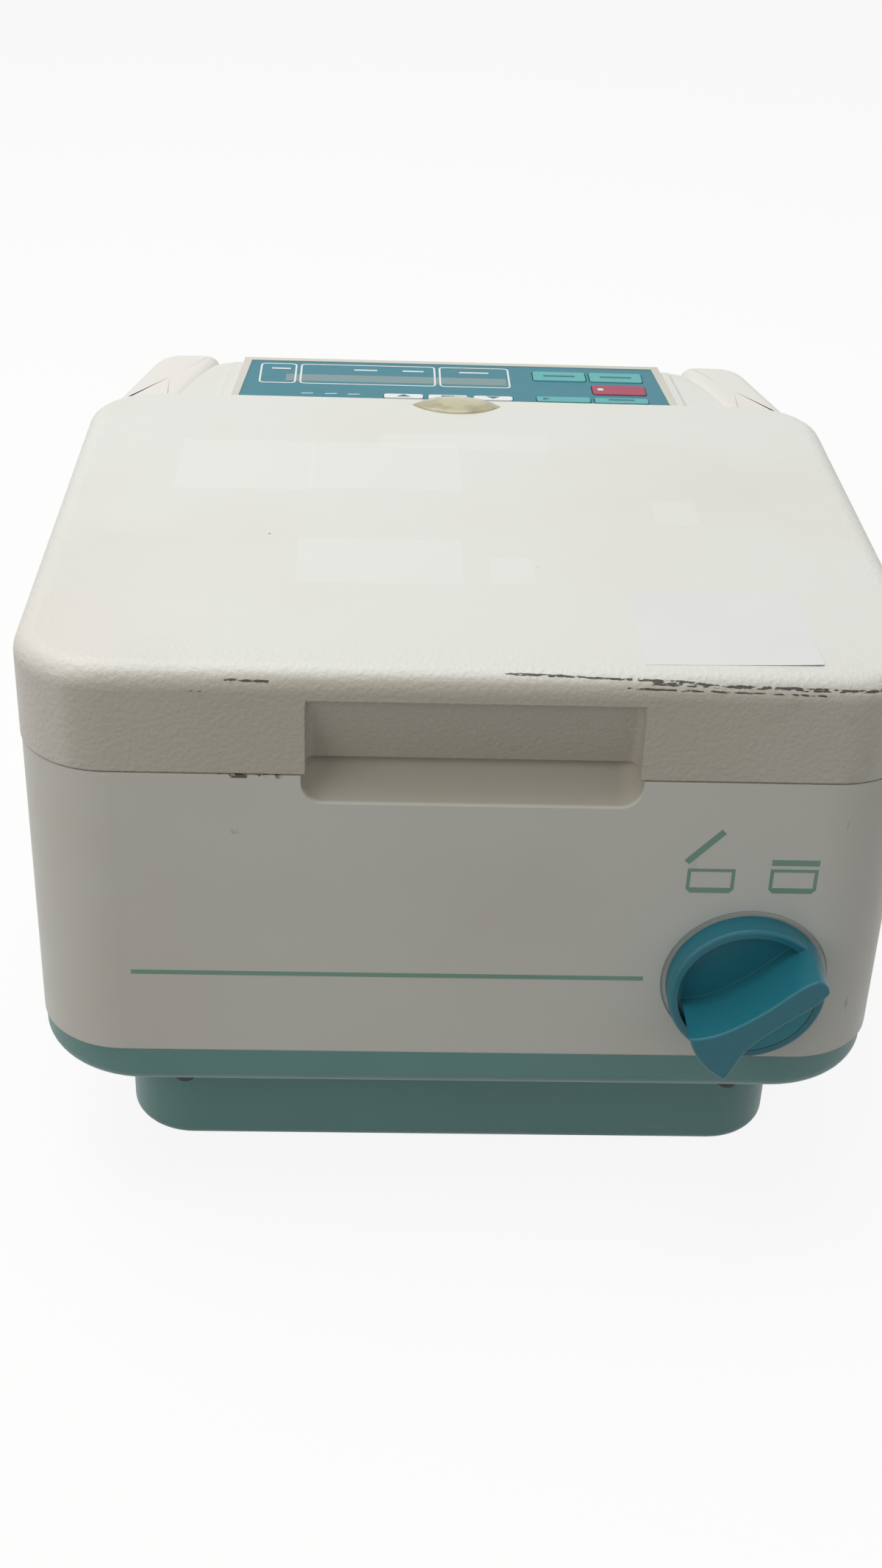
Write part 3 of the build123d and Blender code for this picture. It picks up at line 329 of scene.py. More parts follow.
def lid_paint(colours):
    """Cream paint of the lid, with tape ghosts, specks, painted shade on its front face and in the grip,
    painted warm light on its front left corner, a worn front edge and a leathery grain.
    """
    finish = Finish("lid_paint")
    depth = finish.y - front_y
    top = finish.z.step(lid_top - 1.5 * MM, lid_top - 0.5 * MM)
    base = cream_base(finish, colours)
    for middle, half in TAPE_GHOSTS:
        ghost = finish.patch(finish.x, depth, middle, half, 0.6) * top
        base = finish.mix(ghost * 0.35, base, colours.tape_ghost)
    # painted warm light: the lid's front left corner tinted pinkish
    painted_warm_light = finish.x.step(-0.10, -0.165) * depth.step(0.10, 0.0)
    base = finish.mix(painted_warm_light * 0.35, base, paint(222, 206, 196))
    # blotchy darkening on the lid's front, stronger towards the right
    front_blotches = finish.noise(70.0, 5.0).step(0.56, 0.72) * depth.step(0.02, 0.0) * finish.x.step(-0.02, 0.09)
    base = finish.mix(front_blotches * 0.22, base, paint(160, 148, 134))
    # painted shade on the lid's front face, strongest in the middle at the grip; it also stands for hand
    # dulling
    front_shade_and_handling = depth.step(0.004, 0.0008) * (0.75 - abs(finish.x + 0.01).step(0.06, 0.16) * 0.35)
    base = finish.mix(front_shade_and_handling, base, paint(196, 188, 172))
    # painted shade in the lid's grip recess
    base = grip_recess_shade(finish, base, depth)
    specks = finish.dots(62.0).step(0.035, 0.02) * finish.noise(23.0).step(0.60, 0.62)
    base = finish.mix(specks * top, base, colours.under_paint)
    ragged = finish.noise(330.0, 5.0, (1.0, 3.0, 3.0))
    bare = None
    for middle, half in LID_CHIPS:
        along = finish.x.band((middle[0] - half[0]) * MM, (middle[0] + half[0]) * MM, 3 * MM)
        off_line = finish.z - middle[1] * MM + (finish.x - middle[0] * MM) * CHIP_FALL
        high = (abs(off_line) / (half[1] * MM)).step(1.3, 0.2)
        chip = along * high * depth.step(9 * MM, 8 * MM)
        bare = chip if bare is None else bare.most(chip)
    chipped = (bare + ragged).step(1.44, 1.5)
    base = finish.mix(chipped, base, colours.under_paint)
    finish.surface(base, finish.noise(60.0, 3.0) * 0.14 + chipped * 0.2 + 0.36)
    leathery = depth.step(0.035, 0.008).most(abs(finish.x).step(0.14, 0.158)) * 0.85 + 0.15
    height = finish.noise(520.0, 2.0) * leathery - chipped * 0.8
    finish.relief(height, 0.8, 0.45 * MM, 0.7 * MM)
    return finish.material


# Dark or brown marks on the housing's front: middle in X and height, half size, strength
FRONT_MARKS = (
    ((82.0, 103.0), (5.0, 14.0), 0.20),
    ((134.6, 178.6), (1.6, 2.4), 0.75),
    ((148.0, 95.0), (2.2, 5.0), 0.45),
    ((-84.0, 173.0), (2.4, 2.0), 0.50),
    ((82.0, 163.0), (4.0, 5.0), 0.16),
    ((-57.0, 194.0), (2.0, 1.0), 0.60),
)


def housing_paint(colours):
    """Cream paint of the housing, with scuffs on the front, painted shade in the scoop under the lid and
    chips along the seam.
    """
    finish = Finish("housing_paint")
    depth = finish.y - front_y
    base = cream_base(finish, colours)
    near_front = depth.step(0.03, 0.01)
    streaks = finish.noise(260.0, 4.0, (1.0, 1.0, 0.4)).step(0.42, 0.7)
    for middle, half, strength in FRONT_MARKS:
        mark = finish.oval(finish.x, finish.z, middle, half)
        base = finish.mix(mark * streaks * near_front * strength, base, paint(96, 82, 70))
    # painted shade in the scoop under the lid
    base = grip_recess_shade(finish, base, depth)
    seam_height, worn_left, worn_right = 0.1955, -0.088, -0.070
    seam = abs(finish.z - seam_height).step(1.1 * MM, 0.5 * MM)
    seam = seam * finish.x.band(worn_left, worn_right, 4 * MM)
    seam = seam * depth.step(2 * MM, 1 * MM)
    ragged = finish.noise(300.0, 4.0).step(0.48, 0.56)
    base = finish.mix(seam * ragged * near_front, base, colours.under_paint)
    specks = finish.dots(48.0).step(0.025, 0.015) * finish.noise(17.0).step(0.62, 0.64)
    base = finish.mix(specks * 0.7, base, colours.under_paint)
    finish.surface(base, finish.noise(60.0, 3.0) * 0.14 + 0.37)
    finish.relief(finish.noise(700.0), 0.4, 0.12 * MM, 0.6 * MM)
    return finish.material


def pan_plastic(colours):
    """Teal moulded plastic of the pan, with a few paler rubs."""
    finish = Finish("pan_plastic")
    rubbed = finish.noise(55.0, 5.0, (0.5, 1.0, 2.0)).step(0.66, 0.74) * 0.3
    clouds = finish.mix(finish.noise(12.0, 4.0), colours.pan, shaded(colours.pan, 0.86))
    base = finish.mix(rubbed, clouds, shaded(colours.pan, 1.35))
    finish.surface(base, finish.noise(50.0, 3.0) * 0.16 + 0.34)
    finish.relief(finish.noise(1000.0), 0.25, 0.05 * MM, 0.8 * MM)
    return finish.material


def knob_plastic(colours):
    """Satin teal plastic of the knob, faintly rubbed in scattered patches."""
    finish = Finish("knob_plastic")
    rub = finish.noise(140.0, 5.0).step(0.62, 0.72) * 0.12
    rubbed = tuple(min(1.0, part * 1.6 + 0.02) for part in colours.knob)
    finish.surface(finish.mix(rub, colours.knob, rubbed), finish.noise(90.0, 3.0) * 0.14 + 0.3)
    finish.relief(finish.noise(800.0), 0.2, 0.04 * MM, 0.5 * MM)
    return finish.material


def film(name, base, roughness=0.5):
    """Printed membrane film with a fine texture and a light coat."""
    finish = Finish(name)
    clouds = finish.mix(finish.noise(30.0, 3.0), base, shaded(base, 0.93))
    finish.surface(clouds, finish.noise(200.0, 2.0) * 0.1 + (roughness - 0.05))
    finish.relief(finish.noise(1600.0), 0.12, 0.02 * MM, 0.25 * MM)
    return finish.material


def clear_yellow(colours):
    """Yellowed clear plastic, partly see-through."""
    finish = Finish("yellow_glass", Transmission_Weight=0.25, IOR=1.47)
    cloudy = finish.noise(120.0, 3.0).step(0.4, 0.75)
    finish.surface(finish.mix(cloudy, colours.glass, shaded(colours.glass, 0.7)), cloudy * 0.12 + 0.08)
    return finish.material


def board_finish(name):
    """Circuit board: green lacquer with paler tracks on a square grid."""
    finish = Finish(name)
    across = finish.x.math("PINGPONG", finish.x, 2.2 * MM)
    along = finish.y.math("PINGPONG", finish.y, 3.1 * MM)
    tracks = across.step(0.4 * MM, 0.2 * MM).most(along.step(0.4 * MM, 0.2 * MM))
    lacquer = finish.mix(tracks * 0.5, paint(18, 88, 52), paint(60, 130, 84))
    finish.surface(lacquer, finish.noise(80.0) * 0.1 + 0.35)
    return finish.material


def middle_of(name):
    """Middle of a node's box, in metres."""
    return np.mean(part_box(name), axis=0)


def shown(name, data):
    """New object in the scene with this data."""
    made = bpy.data.objects.new(name, data)
    bpy.context.scene.collection.objects.link(made)
    return made


def circle(count):
    """Points round a unit circle: (cos t, sin t)."""
    turns = np.linspace(0, 2 * math.pi, count, endpoint=False)
    return np.stack([np.cos(turns), np.sin(turns)], axis=-1)


def rectangle(left, right, near, far):
    """The four corners of a rectangle, in turn."""
    return ((left, near), (right, near), (right, far), (left, far))


def dress(nodes, material):
    """Gives every material slot of these CAD nodes this finish."""
    for name in nodes:
        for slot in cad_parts[name].material_slots:
            slot.material = material


def solid(name, grids, material, body, caps=True):
    """One mesh from grids of points; each grid's columns run round a closed section, its rows along.

    A grid is points[row, column] in metres. Neighbouring points make quads, the last column joins the
    first, and the first and last rows are capped. Equal points merge, so a row may be a single pole.
    """
    points, faces, start = [], [], 0
    for grid in grids:
        rows, columns = grid.shape[:2]
        index = start + np.arange(rows * columns).reshape(rows, columns)
        ahead = np.roll(index, -1, axis=1)
        quads = np.stack([index[:-1], ahead[:-1], ahead[1:], index[1:]], axis=-1)
        faces += quads.reshape(-1, 4).tolist()
        if caps:
            faces += [index[0, ::-1].tolist(), index[-1].tolist()]
        points.append(grid.reshape(-1, 3))
        start += rows * columns
    mesh = bpy.data.meshes.new(name)
    mesh.from_pydata(np.concatenate(points).tolist(), [], faces)
    shape = bmesh.new()
    shape.from_mesh(mesh)
    bmesh.ops.remove_doubles(shape, verts=shape.verts, dist=0.001 * MM)
    bmesh.ops.recalc_face_normals(shape, faces=shape.faces)
    shape.to_mesh(mesh)
    shape.free()
    mesh.shade_smooth()
    mesh.set_sharp_from_angle(angle=math.radians(32.0))
    piece = shown(name, mesh)
    mesh.materials.append(material)
    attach(piece, body)
    return piece


def strip(path, normal, width, closed=False):
    """Thin raised line along a path: a rectangle carried along it, mitred at its corners.

    At each point the side vector is normal x direction of the run; where two runs meet it is the mean
    of both, divided by the cosine of half the turn. Four columns lie at -+width/2 on the side vector,
    below and above the surface.
    """
    path = np.asarray(path, float)
    normal = np.asarray(normal, float)
    runs = np.diff(np.vstack([path, path[:1]]) if closed else path, axis=0)
    runs /= np.linalg.norm(runs, axis=1)[:, None]
    sides = np.cross(normal, runs)
    before = np.roll(sides, 1, axis=0) if closed else np.vstack([sides[:1], sides])
    after = sides if closed else np.vstack([sides, sides[-1:]])
    mitre = before + after
    mitre /= np.linalg.norm(mitre, axis=1)[:, None]
    mitre /= np.sum(mitre * after, axis=1)[:, None]
    half = mitre * width / 2
    low, high = -normal * PRINT_SINK, normal * PRINT_LIFT
    grid = np.stack([path - half + low, path - half + high, path + half + high, path + half + low], axis=1)
    return np.concatenate([grid, grid[:1]]) if closed else grid


def plate(outline, normal, lift=PRINT_LIFT):
    """Flat printed shape: its outline just under the surface and again just above it."""
    outline = np.asarray(outline, float)
    normal = np.asarray(normal, float)
    return np.stack([outline - normal * PRINT_SINK, outline + normal * lift])


def rounded(x_low, x_high, y_low, y_high, radius, steps=5):
    """Points round a rectangle with rounded corners: corner centre + radius * (cos, sin)."""
    angles = np.linspace(0, math.pi / 2, steps)
    left, right, low, high = x_low + radius, x_high - radius, y_low + radius, y_high - radius
    parts = []
    for turn, centre in enumerate(((right, high), (left, high), (left, low), (right, low))):
        angle = angles + turn * math.pi / 2
        parts.append(np.array(centre) + radius * np.stack([np.cos(angle), np.sin(angle)], axis=-1))
    return np.concatenate(parts)


def on_front(points):
    """Points given as (X, height) in millimetres, set on the housing's front face, in metres."""
    flat = np.asarray(points, float) * MM
    return np.stack([flat[:, 0], np.full(len(flat), front_y), flat[:, 1]], axis=-1)


def on_top(points, height):
    """Points given as (X, depth behind the front) in millimetres, set at a height in metres."""
    flat = np.asarray(points, float) * MM
    return np.stack([flat[:, 0], flat[:, 1] + front_y, np.full(len(flat), height)], axis=-1)


def dome(centre, axis, radius, height, rings=5, around=20):
    """Low dome on a short wall: radius * cos(t) across, wall + (height - wall) * sin(t) up, to a pole."""
    axis = Vector(axis)
    side = np.array(axis.orthogonal().normalized())
    other = np.cross(np.array(axis), side)
    ring = circle(around) @ np.array([side, other])
    rise = np.linspace(0, math.pi / 2, rings)
    wall = 0.4 * height
    across = np.concatenate([[radius], radius * np.cos(rise)])
    up = np.concatenate([[0.0], wall + (height - wall) * np.sin(rise)])
    return np.array(centre) + across[:, None, None] * ring + up[:, None, None] * np.array(axis)


def cross_marks(centres, normal, size, width):
    """Two crossed strips on each screw head, where the cross recess would be; with the dark finish they
    are painted shade.
    """
    normal = np.array(normal, float)
    side = np.array(Vector(normal).orthogonal().normalized())
    other = np.cross(normal, side)
    grids = []
    for centre in centres:
        for way in (side, other):
            grids.append(strip([centre - way * size, centre + way * size], normal, width))
    return grids


class CentrifugeOperator:
    """What the operators share: undo, and the two property groups."""

    bl_options = {"REGISTER", "UNDO"}

    @property
    def colours(self):
        return bpy.context.scene.centrifuge_colours

    @property
    def sizes(self):
        return bpy.context.scene.centrifuge_sizes


class CENTRIFUGE_OT_stage(CentrifugeOperator, bpy.types.Operator):
    """Set the camera, the lamps, the world and the floor."""

    bl_idname = "centrifuge.stage"
    bl_label = "Stage"

    def execute(self, context):
        scene = context.scene
        scene.view_settings.view_transform = "Standard"
        self.camera(scene)
        middle = (0.0, front_y + 0.15, 0.1)
        above, left = (-0.35, front_y + 0.35, 1.75), (-0.9, front_y - 0.7, 0.75)
        cool, warm = (0.98, 1.0, 1.0), (1.0, 0.95, 0.86)
        self.lamp("lamp_above", above, middle, size=1.5, power=19.5, tint=cool)
        self.lamp("lamp_left", left, middle, size=0.8, power=2.6, tint=warm)
        self.world(scene)
        self.floor()
        return {"FINISHED"}

    def camera(self, scene):
        """Camera at the photograph's viewpoint: pitch down, yaw and roll, in radians."""
        pitch, yaw, roll = 0.54482, -0.04246, 0.03944
        focal_pixels, image_height, sensor = 2700.0, 2133.0, 36.0
        viewpoint = (-0.0366, front_y - 0.596, 0.5552)
        right = np.array([math.cos(yaw), math.sin(yaw), 0.0])
        ahead = np.array(
            [-math.sin(yaw) * math.cos(pitch), math.cos(yaw) * math.cos(pitch), -math.sin(pitch)]
        )
        up = np.cross(right, ahead)
        rolled_right = right * math.cos(roll) + up * math.sin(roll)
        rolled_up = up * math.cos(roll) - right * math.sin(roll)
        data = bpy.data.cameras.new("camera")
        data.sensor_width = sensor
        data.lens = focal_pixels / image_height * sensor
        data.clip_start = 0.01
        camera = shown("camera", data)
        turn = np.eye(4)
        turn[:3, 0], turn[:3, 1], turn[:3, 2] = rolled_right, rolled_up, -ahead
        turn[:3, 3] = viewpoint
        camera.matrix_world = Matrix(turn.tolist())
        scene.camera = camera

    def lamp(self, name, place, target, size, power, tint):
        """Square area lamp that faces a target."""
        data = bpy.data.lights.new(name, "AREA")
        data.color = tint
        data.size = size
        data.energy = power
        lamp = shown(name, data)
        lamp.location = place
        lamp.rotation_euler = (Vector(target) - Vector(place)).to_track_quat("-Z", "Y").to_euler()

    def world(self, scene):
        """Soft grey light all round, and white where the camera sees past the floor."""
        world = bpy.data.worlds.new("studio")
        scene.world = world
        world.use_nodes = True
        graph = Graph(world.node_tree)
        graph.tree.nodes.remove(graph.tree.nodes["Background"])
        soft_grey, light_strength = (1.0, 0.98, 0.93), 0.34
        white = (1.0, 1.0, 1.0)
        light = graph.node("ShaderNodeBackground", inputs={"Color": soft_grey, "Strength": light_strength})
        beyond = graph.node("ShaderNodeBackground", inputs={"Color": white})
        chosen = graph.node("ShaderNodeMixShader", inputs={0: graph.seen(), 1: light, 2: beyond})
        graph.feed(graph.tree.nodes["World Output"].inputs["Surface"], chosen)

    def floor(self):
        """Wide pale floor, near white to the camera, that keeps the object's shadow."""
        half = 6.0
        mesh = bpy.data.meshes.new("floor")
        corners = [(*corner, 0.0) for corner in rectangle(-half, half, -half, half)]
        mesh.from_pydata(corners, [], [(0, 1, 2, 3)])
        material = bpy.data.materials.new("floor")
        material.use_nodes = True
        graph = Graph(material.node_tree)
        graph.tree.nodes.remove(graph.tree.nodes["Principled BSDF"])
        matt_grey, glow, glow_share = (0.24, 0.24, 0.235), 1.5, 0.6
        matt = graph.node("ShaderNodeBsdfDiffuse", inputs={"Color": matt_grey})
        white = graph.node("ShaderNodeEmission", inputs={"Strength": glow})
        share = graph.seen() * glow_share
        chosen = graph.node("ShaderNodeMixShader", inputs={0: share, 1: matt, 2: white})
        graph.feed(graph.tree.nodes["Material Output"].inputs["Surface"], chosen)
        mesh.materials.append(material)
        shown("floor", mesh)


class CENTRIFUGE_OT_shells(CentrifugeOperator, bpy.types.Operator):
    """Finish the housing, the lid and the pan with its feet."""

    bl_idname = "centrifuge.shells"
    bl_label = "Housing, lid and pan"

    def execute(self, context):
        dress(["lid_shell"], lid_paint(self.colours))
        dress(["housing"], housing_paint(self.colours))
        dress(["base_pan"], pan_plastic(self.colours))
        dress(["rubber_feet", "motor_mounts"], moulded("rubber", paint(52, 52, 52), 0.75, 700.0, 0.1))
        dress(["bowl_gasket", "shaft_seal"], moulded("seal_rubber", paint(70, 70, 72), 0.65, 900.0, 0.06))
        dress(["lid_liner"], moulded("liner_plastic", paint(222, 220, 214), 0.4, 600.0, 0.05, 0.4 * MM))
        return {"FINISHED"}


class CENTRIFUGE_OT_shoulders(CentrifugeOperator, bpy.types.Operator):
    """Build the console's rounded shoulders beside the key panel, and the rim under them."""

    bl_idname = "centrifuge.shoulders"
    bl_label = "Shoulders"

    # Plan of the right shoulder, as (X, depth behind the front) and the corner's radius
    under_lid = ((100.0, 250.0, 7.0), (162.4, 250.0, 7.0), (142.0, 343.5, 16.0), (98.0, 343.5, 7.0))
    behind_lid = ((128.0, 274.2, 6.5), (157.2, 274.2, 6.5), (141.0, 343.0, 16.0), (110.0, 343.0, 9.0))
    corner_steps = 6
    top = 229.4 * MM
    edge = 6.0 * MM
    under_seam = 0.9 * MM
    rim_height = 17.5 * MM
    rim_overhang = 0.6 * MM

    def execute(self, context):
        rim_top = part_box("base_pan")[1].z
        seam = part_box("lid_shell")[0].z - self.under_seam
        cream, teal = bpy.data.materials["housing_paint"], bpy.data.materials["pan_plastic"]
        for side, word in ((-1, "left"), (1, "right")):
            wide = self.outline(self.under_lid, side)
            narrow = self.outline(self.behind_lid, side)
            rows = [self.at(wide, rim_top), self.at(wide, seam), self.at(narrow, seam)]
            rows += self.rounded_end(narrow, self.top, 1)
            solid(f"shoulder_{word}", [np.stack(rows)], cream, "root")
            skirt = self.moved_in(wide, -self.rim_overhang)
            rows = [self.at(skirt, rim_top)] + self.rounded_end(skirt, rim_top - self.rim_height, -1)
            solid(f"rim_corner_{word}", [np.stack(rows)], teal, "root")
        return {"FINISHED"}

    def outline(self, plan, side):
        """Plan with each corner rounded by a parabola: (1 - t)2 start + 2t(1 - t) corner + t2 end."""
        corners = np.array(plan)[:, :2]
        radii = np.array(plan)[:, 2]
        share = np.linspace(0, 1, self.corner_steps)[:, None]
        points = []
        for turn, corner in enumerate(corners):
            back, ahead = corners[turn - 1] - corner, corners[(turn + 1) % len(corners)] - corner
            back /= np.linalg.norm(back)
            ahead /= np.linalg.norm(ahead)
            half = math.acos(np.clip(back @ ahead, -1, 1)) / 2
            run = radii[turn] / math.tan(half)
            start, end = corner + back * run, corner + ahead * run
            points.append((1 - share) ** 2 * start + 2 * share * (1 - share) * corner + share**2 * end)
        flat = np.concatenate(points) * MM
        return np.stack([flat[:, 0] * side, flat[:, 1] + front_y], axis=-1)

    def moved_in(self, outline, inset):
        """Outline moved inwards by an inset, along the normals of its points."""
        runs = np.roll(outline, -1, axis=0) - np.roll(outline, 1, axis=0)
        runs /= np.linalg.norm(runs, axis=1)[:, None]
        normals = np.stack([runs[:, 1], -runs[:, 0]], axis=-1)
        area = np.sum(np.cross(outline, np.roll(outline, -1, axis=0)))
        return outline - normals * inset * math.copysign(1.0, area)

    def at(self, outline, height):
        """The outline's points at one height."""
        return np.column_stack([outline, np.full(len(outline), height)])

    def rounded_end(self, outline, height, way):
        """Rows inset by r(1 - cos t), r(1 - sin t) short of the height, then rings closing to a middle."""
        rows = []
        for turn in np.linspace(0, math.pi / 2, 7):
            level = height - way * self.edge * (1 - math.sin(turn))
            rows.append(self.at(self.moved_in(outline, self.edge * (1 - math.cos(turn))), level))
        last = rows[-1]
        middle = last.mean(axis=0)
        rows += [middle + (last - middle) * share for share in (0.66, 0.33, 0.0)]
        return rows


class CENTRIFUGE_OT_knob(CentrifugeOperator, bpy.types.Operator):
    """Finish the lock knob and the pieces behind it."""

    bl_idname = "centrifuge.knob"
    bl_label = "Lock knob"

    def execute(self, context):
        dress(["knob"], knob_plastic(self.colours))
        dress(["knob_bush"], moulded("bush_plastic", paint(206, 204, 196), 0.5))
        steel = brushed("zinc_steel", paint(186, 188, 190), 0.34, (1.0, 1.0, 8.0))
        zinc_nodes = ["knob_shaft", "latch_slide", "latch_guide", "striker", "motor_plate", "back_plate"]
        zinc_nodes += ["hinge_ear_left", "hinge_ear_right", "liner_screws", "ear_screws"]
        dress(zinc_nodes, steel)
        dress(["pan_screws"], moulded("blackened_screws", paint(58, 66, 66), 0.6))
        self.dish_floor()
        return {"FINISHED"}

    def dish_floor(self):
        """Fills the knob's dish below the fin: centre + radius * (cos, sin), from heel to tip."""
        centre = middle_of("knob_bush")[[0, 2]] / MM
        radius, face_depth, floor_depth = 25.9, 9.9, 4.9
        heel, tip, arc_points = math.radians(-142.0), math.radians(36.0), 28
        turns = np.linspace(heel, tip, arc_points)
        arc = centre + radius * np.stack([np.cos(turns), np.sin(turns)], axis=-1)
        disc = on_front(arc)
        face = disc - np.array([0.0, face_depth * MM, 0.0])
        floor = disc - np.array([0.0, floor_depth * MM, 0.0])
        solid("knob_dish_floor", [np.stack([floor, face])], bpy.data.materials["knob_plastic"], "knob")


class CENTRIFUGE_OT_front_print(CentrifugeOperator, bpy.types.Operator):
    """Print the open and closed lid symbols and the thin stripe on the front."""

    bl_idname = "centrifuge.front_print"
    bl_label = "Front print"

    outward = (0.0, -1.0, 0.0)

    def box_symbol(self, left, right, bottom, top):
        """Open box seen from the side: three thin sides and a thick floor with cut corners."""
        thin, thick, cut = 1.3, 2.3, 1.6
        floor = [
            (left, bottom + thick),
            (left, bottom + cut),
            (left + cut, bottom),
            (right - cut, bottom),
            (right, bottom + cut),
            (right, bottom + thick),
        ]
        grids = [plate(on_front(floor[::-1]), self.outward)]
        for x in (left + thin / 2, right - thin / 2):
            grids.append(strip(on_front([(x, bottom + thick), (x, top)]), self.outward, thin * MM))
        bar = on_front([(left + thin, top - thin / 2), (right - thin, top - thin / 2)])
        grids.append(strip(bar, self.outward, thin * MM))
        return grids

    def execute(self, context):
        ink = moulded("front_print", self.colours.print_teal, 0.45, 1200.0, 0.02)
        open_box = (79.3, 96.8, 149.3, 159.8)
        shut_box = (109.6, 127.1, 149.5, 160.0)
        raised_lid = [(78.6, 162.5), (91.0, 175.8)]
        shut_lid = [(109.7, 162.8), (127.2, 162.8)]
        bar = 2.5 * MM
        grids = self.box_symbol(*open_box) + self.box_symbol(*shut_box)
        grids += [strip(on_front(path), self.outward, bar) for path in (raised_lid, shut_lid)]
        solid("lock_symbols", grids, ink, "root")
        stripe_height, stripe_left, stripe_right = 110.0, -123.7, 67.2
        stripe = on_front([(stripe_left, stripe_height), (stripe_right, stripe_height)])
        solid("front_stripe", [strip(stripe, self.outward, self.sizes.stripe_width)], ink, "root")
        return {"FINISHED"}


class CENTRIFUGE_OT_label(CentrifugeOperator, bpy.types.Operator):
    """Stick a blank label on the lid."""

    bl_idname = "centrifuge.label"
    bl_label = "Blank label"

    def execute(self, context):
        """Height over the lid: a thin gap + a curl that grows with the fourth power towards one corner."""
        middle = np.array([89.7, 40.2]) * MM
        taper, lean, gap, curl, wave = 0.012, 0.8 * MM, 0.12 * MM, 0.5 * MM, 0.05 * MM
        across, along = np.meshgrid(np.linspace(-1, 1, 28), np.linspace(-1, 1, 26), indexing="ij")
        half_width, half_depth = self.sizes.label_width / 2, self.sizes.label_depth / 2
        x = middle[0] + across * half_width * (1 - taper * along)
        y = front_y + middle[1] + along * half_depth + lean * across
        corner = np.clip((across - along) / 2, 0, 1) ** 4
        z = lid_top + gap + curl * corner + wave * np.sin(7 * across) * np.cos(5 * along)
        upper = np.stack([x, y, z], axis=-1)
        mesh = bpy.data.meshes.new("lid_label")
        index = np.arange(upper.shape[0] * upper.shape[1]).reshape(upper.shape[:2])
        quads = np.stack([index[:-1, :-1], index[1:, :-1], index[1:, 1:], index[:-1, 1:]], axis=-1)
        mesh.from_pydata(upper.reshape(-1, 3).tolist(), [], quads.reshape(-1, 4).tolist())
        label = shown("lid_label", mesh)
        mesh.materials.append(moulded("label_paper", paint(226, 226, 227), 0.6, 1500.0, 0.02, shade=0.97))
        thick = label.modifiers.new("paper", "SOLIDIFY")
        thick.thickness = 0.1 * MM
        thick.offset = -1
        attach(label, "lid")
        return {"FINISHED"}


class CENTRIFUGE_OT_sight_glass(CentrifugeOperator, bpy.types.Operator):
    """Build the domed sight glass in the lid's back edge."""

    bl_idname = "centrifuge.sight_glass"
    bl_label = "Sight glass"

    def execute(self, context):
        """Lens between two arcs: half width w(x) = sqrt(R2 - x2) - R + W, with half an oval on top."""
        low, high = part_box("sight_glass")
        half_length = (high.x - low.x) / 2
        half_width = (high.y - low.y) / 2
        radius = (half_length**2 + half_width**2) / (2 * half_width)
        x = half_length * np.sin(np.linspace(-math.pi / 2, math.pi / 2, 33))
        width = np.sqrt(radius**2 - x**2) - radius + half_width
        turn = np.linspace(0, 2 * math.pi, 28, endpoint=False)
        rise = np.where(np.sin(turn) > 0, np.sin(turn), 0.0)
        crown = self.sizes.glass_crown * (width / half_width)[:, None] * rise
        sunk = (lid_top - low.z) * np.where(np.sin(turn) < -0.2, 1.0, 0.0)
        across = width[:, None] * np.cos(turn)
        y = middle_of("sight_glass")[1] + across
        z = lid_top + crown - sunk
        grid = np.stack([np.broadcast_to(x[:, None], y.shape), y, z], axis=-1)
        glass = solid("sight_lens", [grid], clear_yellow(self.colours), "lid")
        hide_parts("sight_glass")
        return {"FINISHED"}


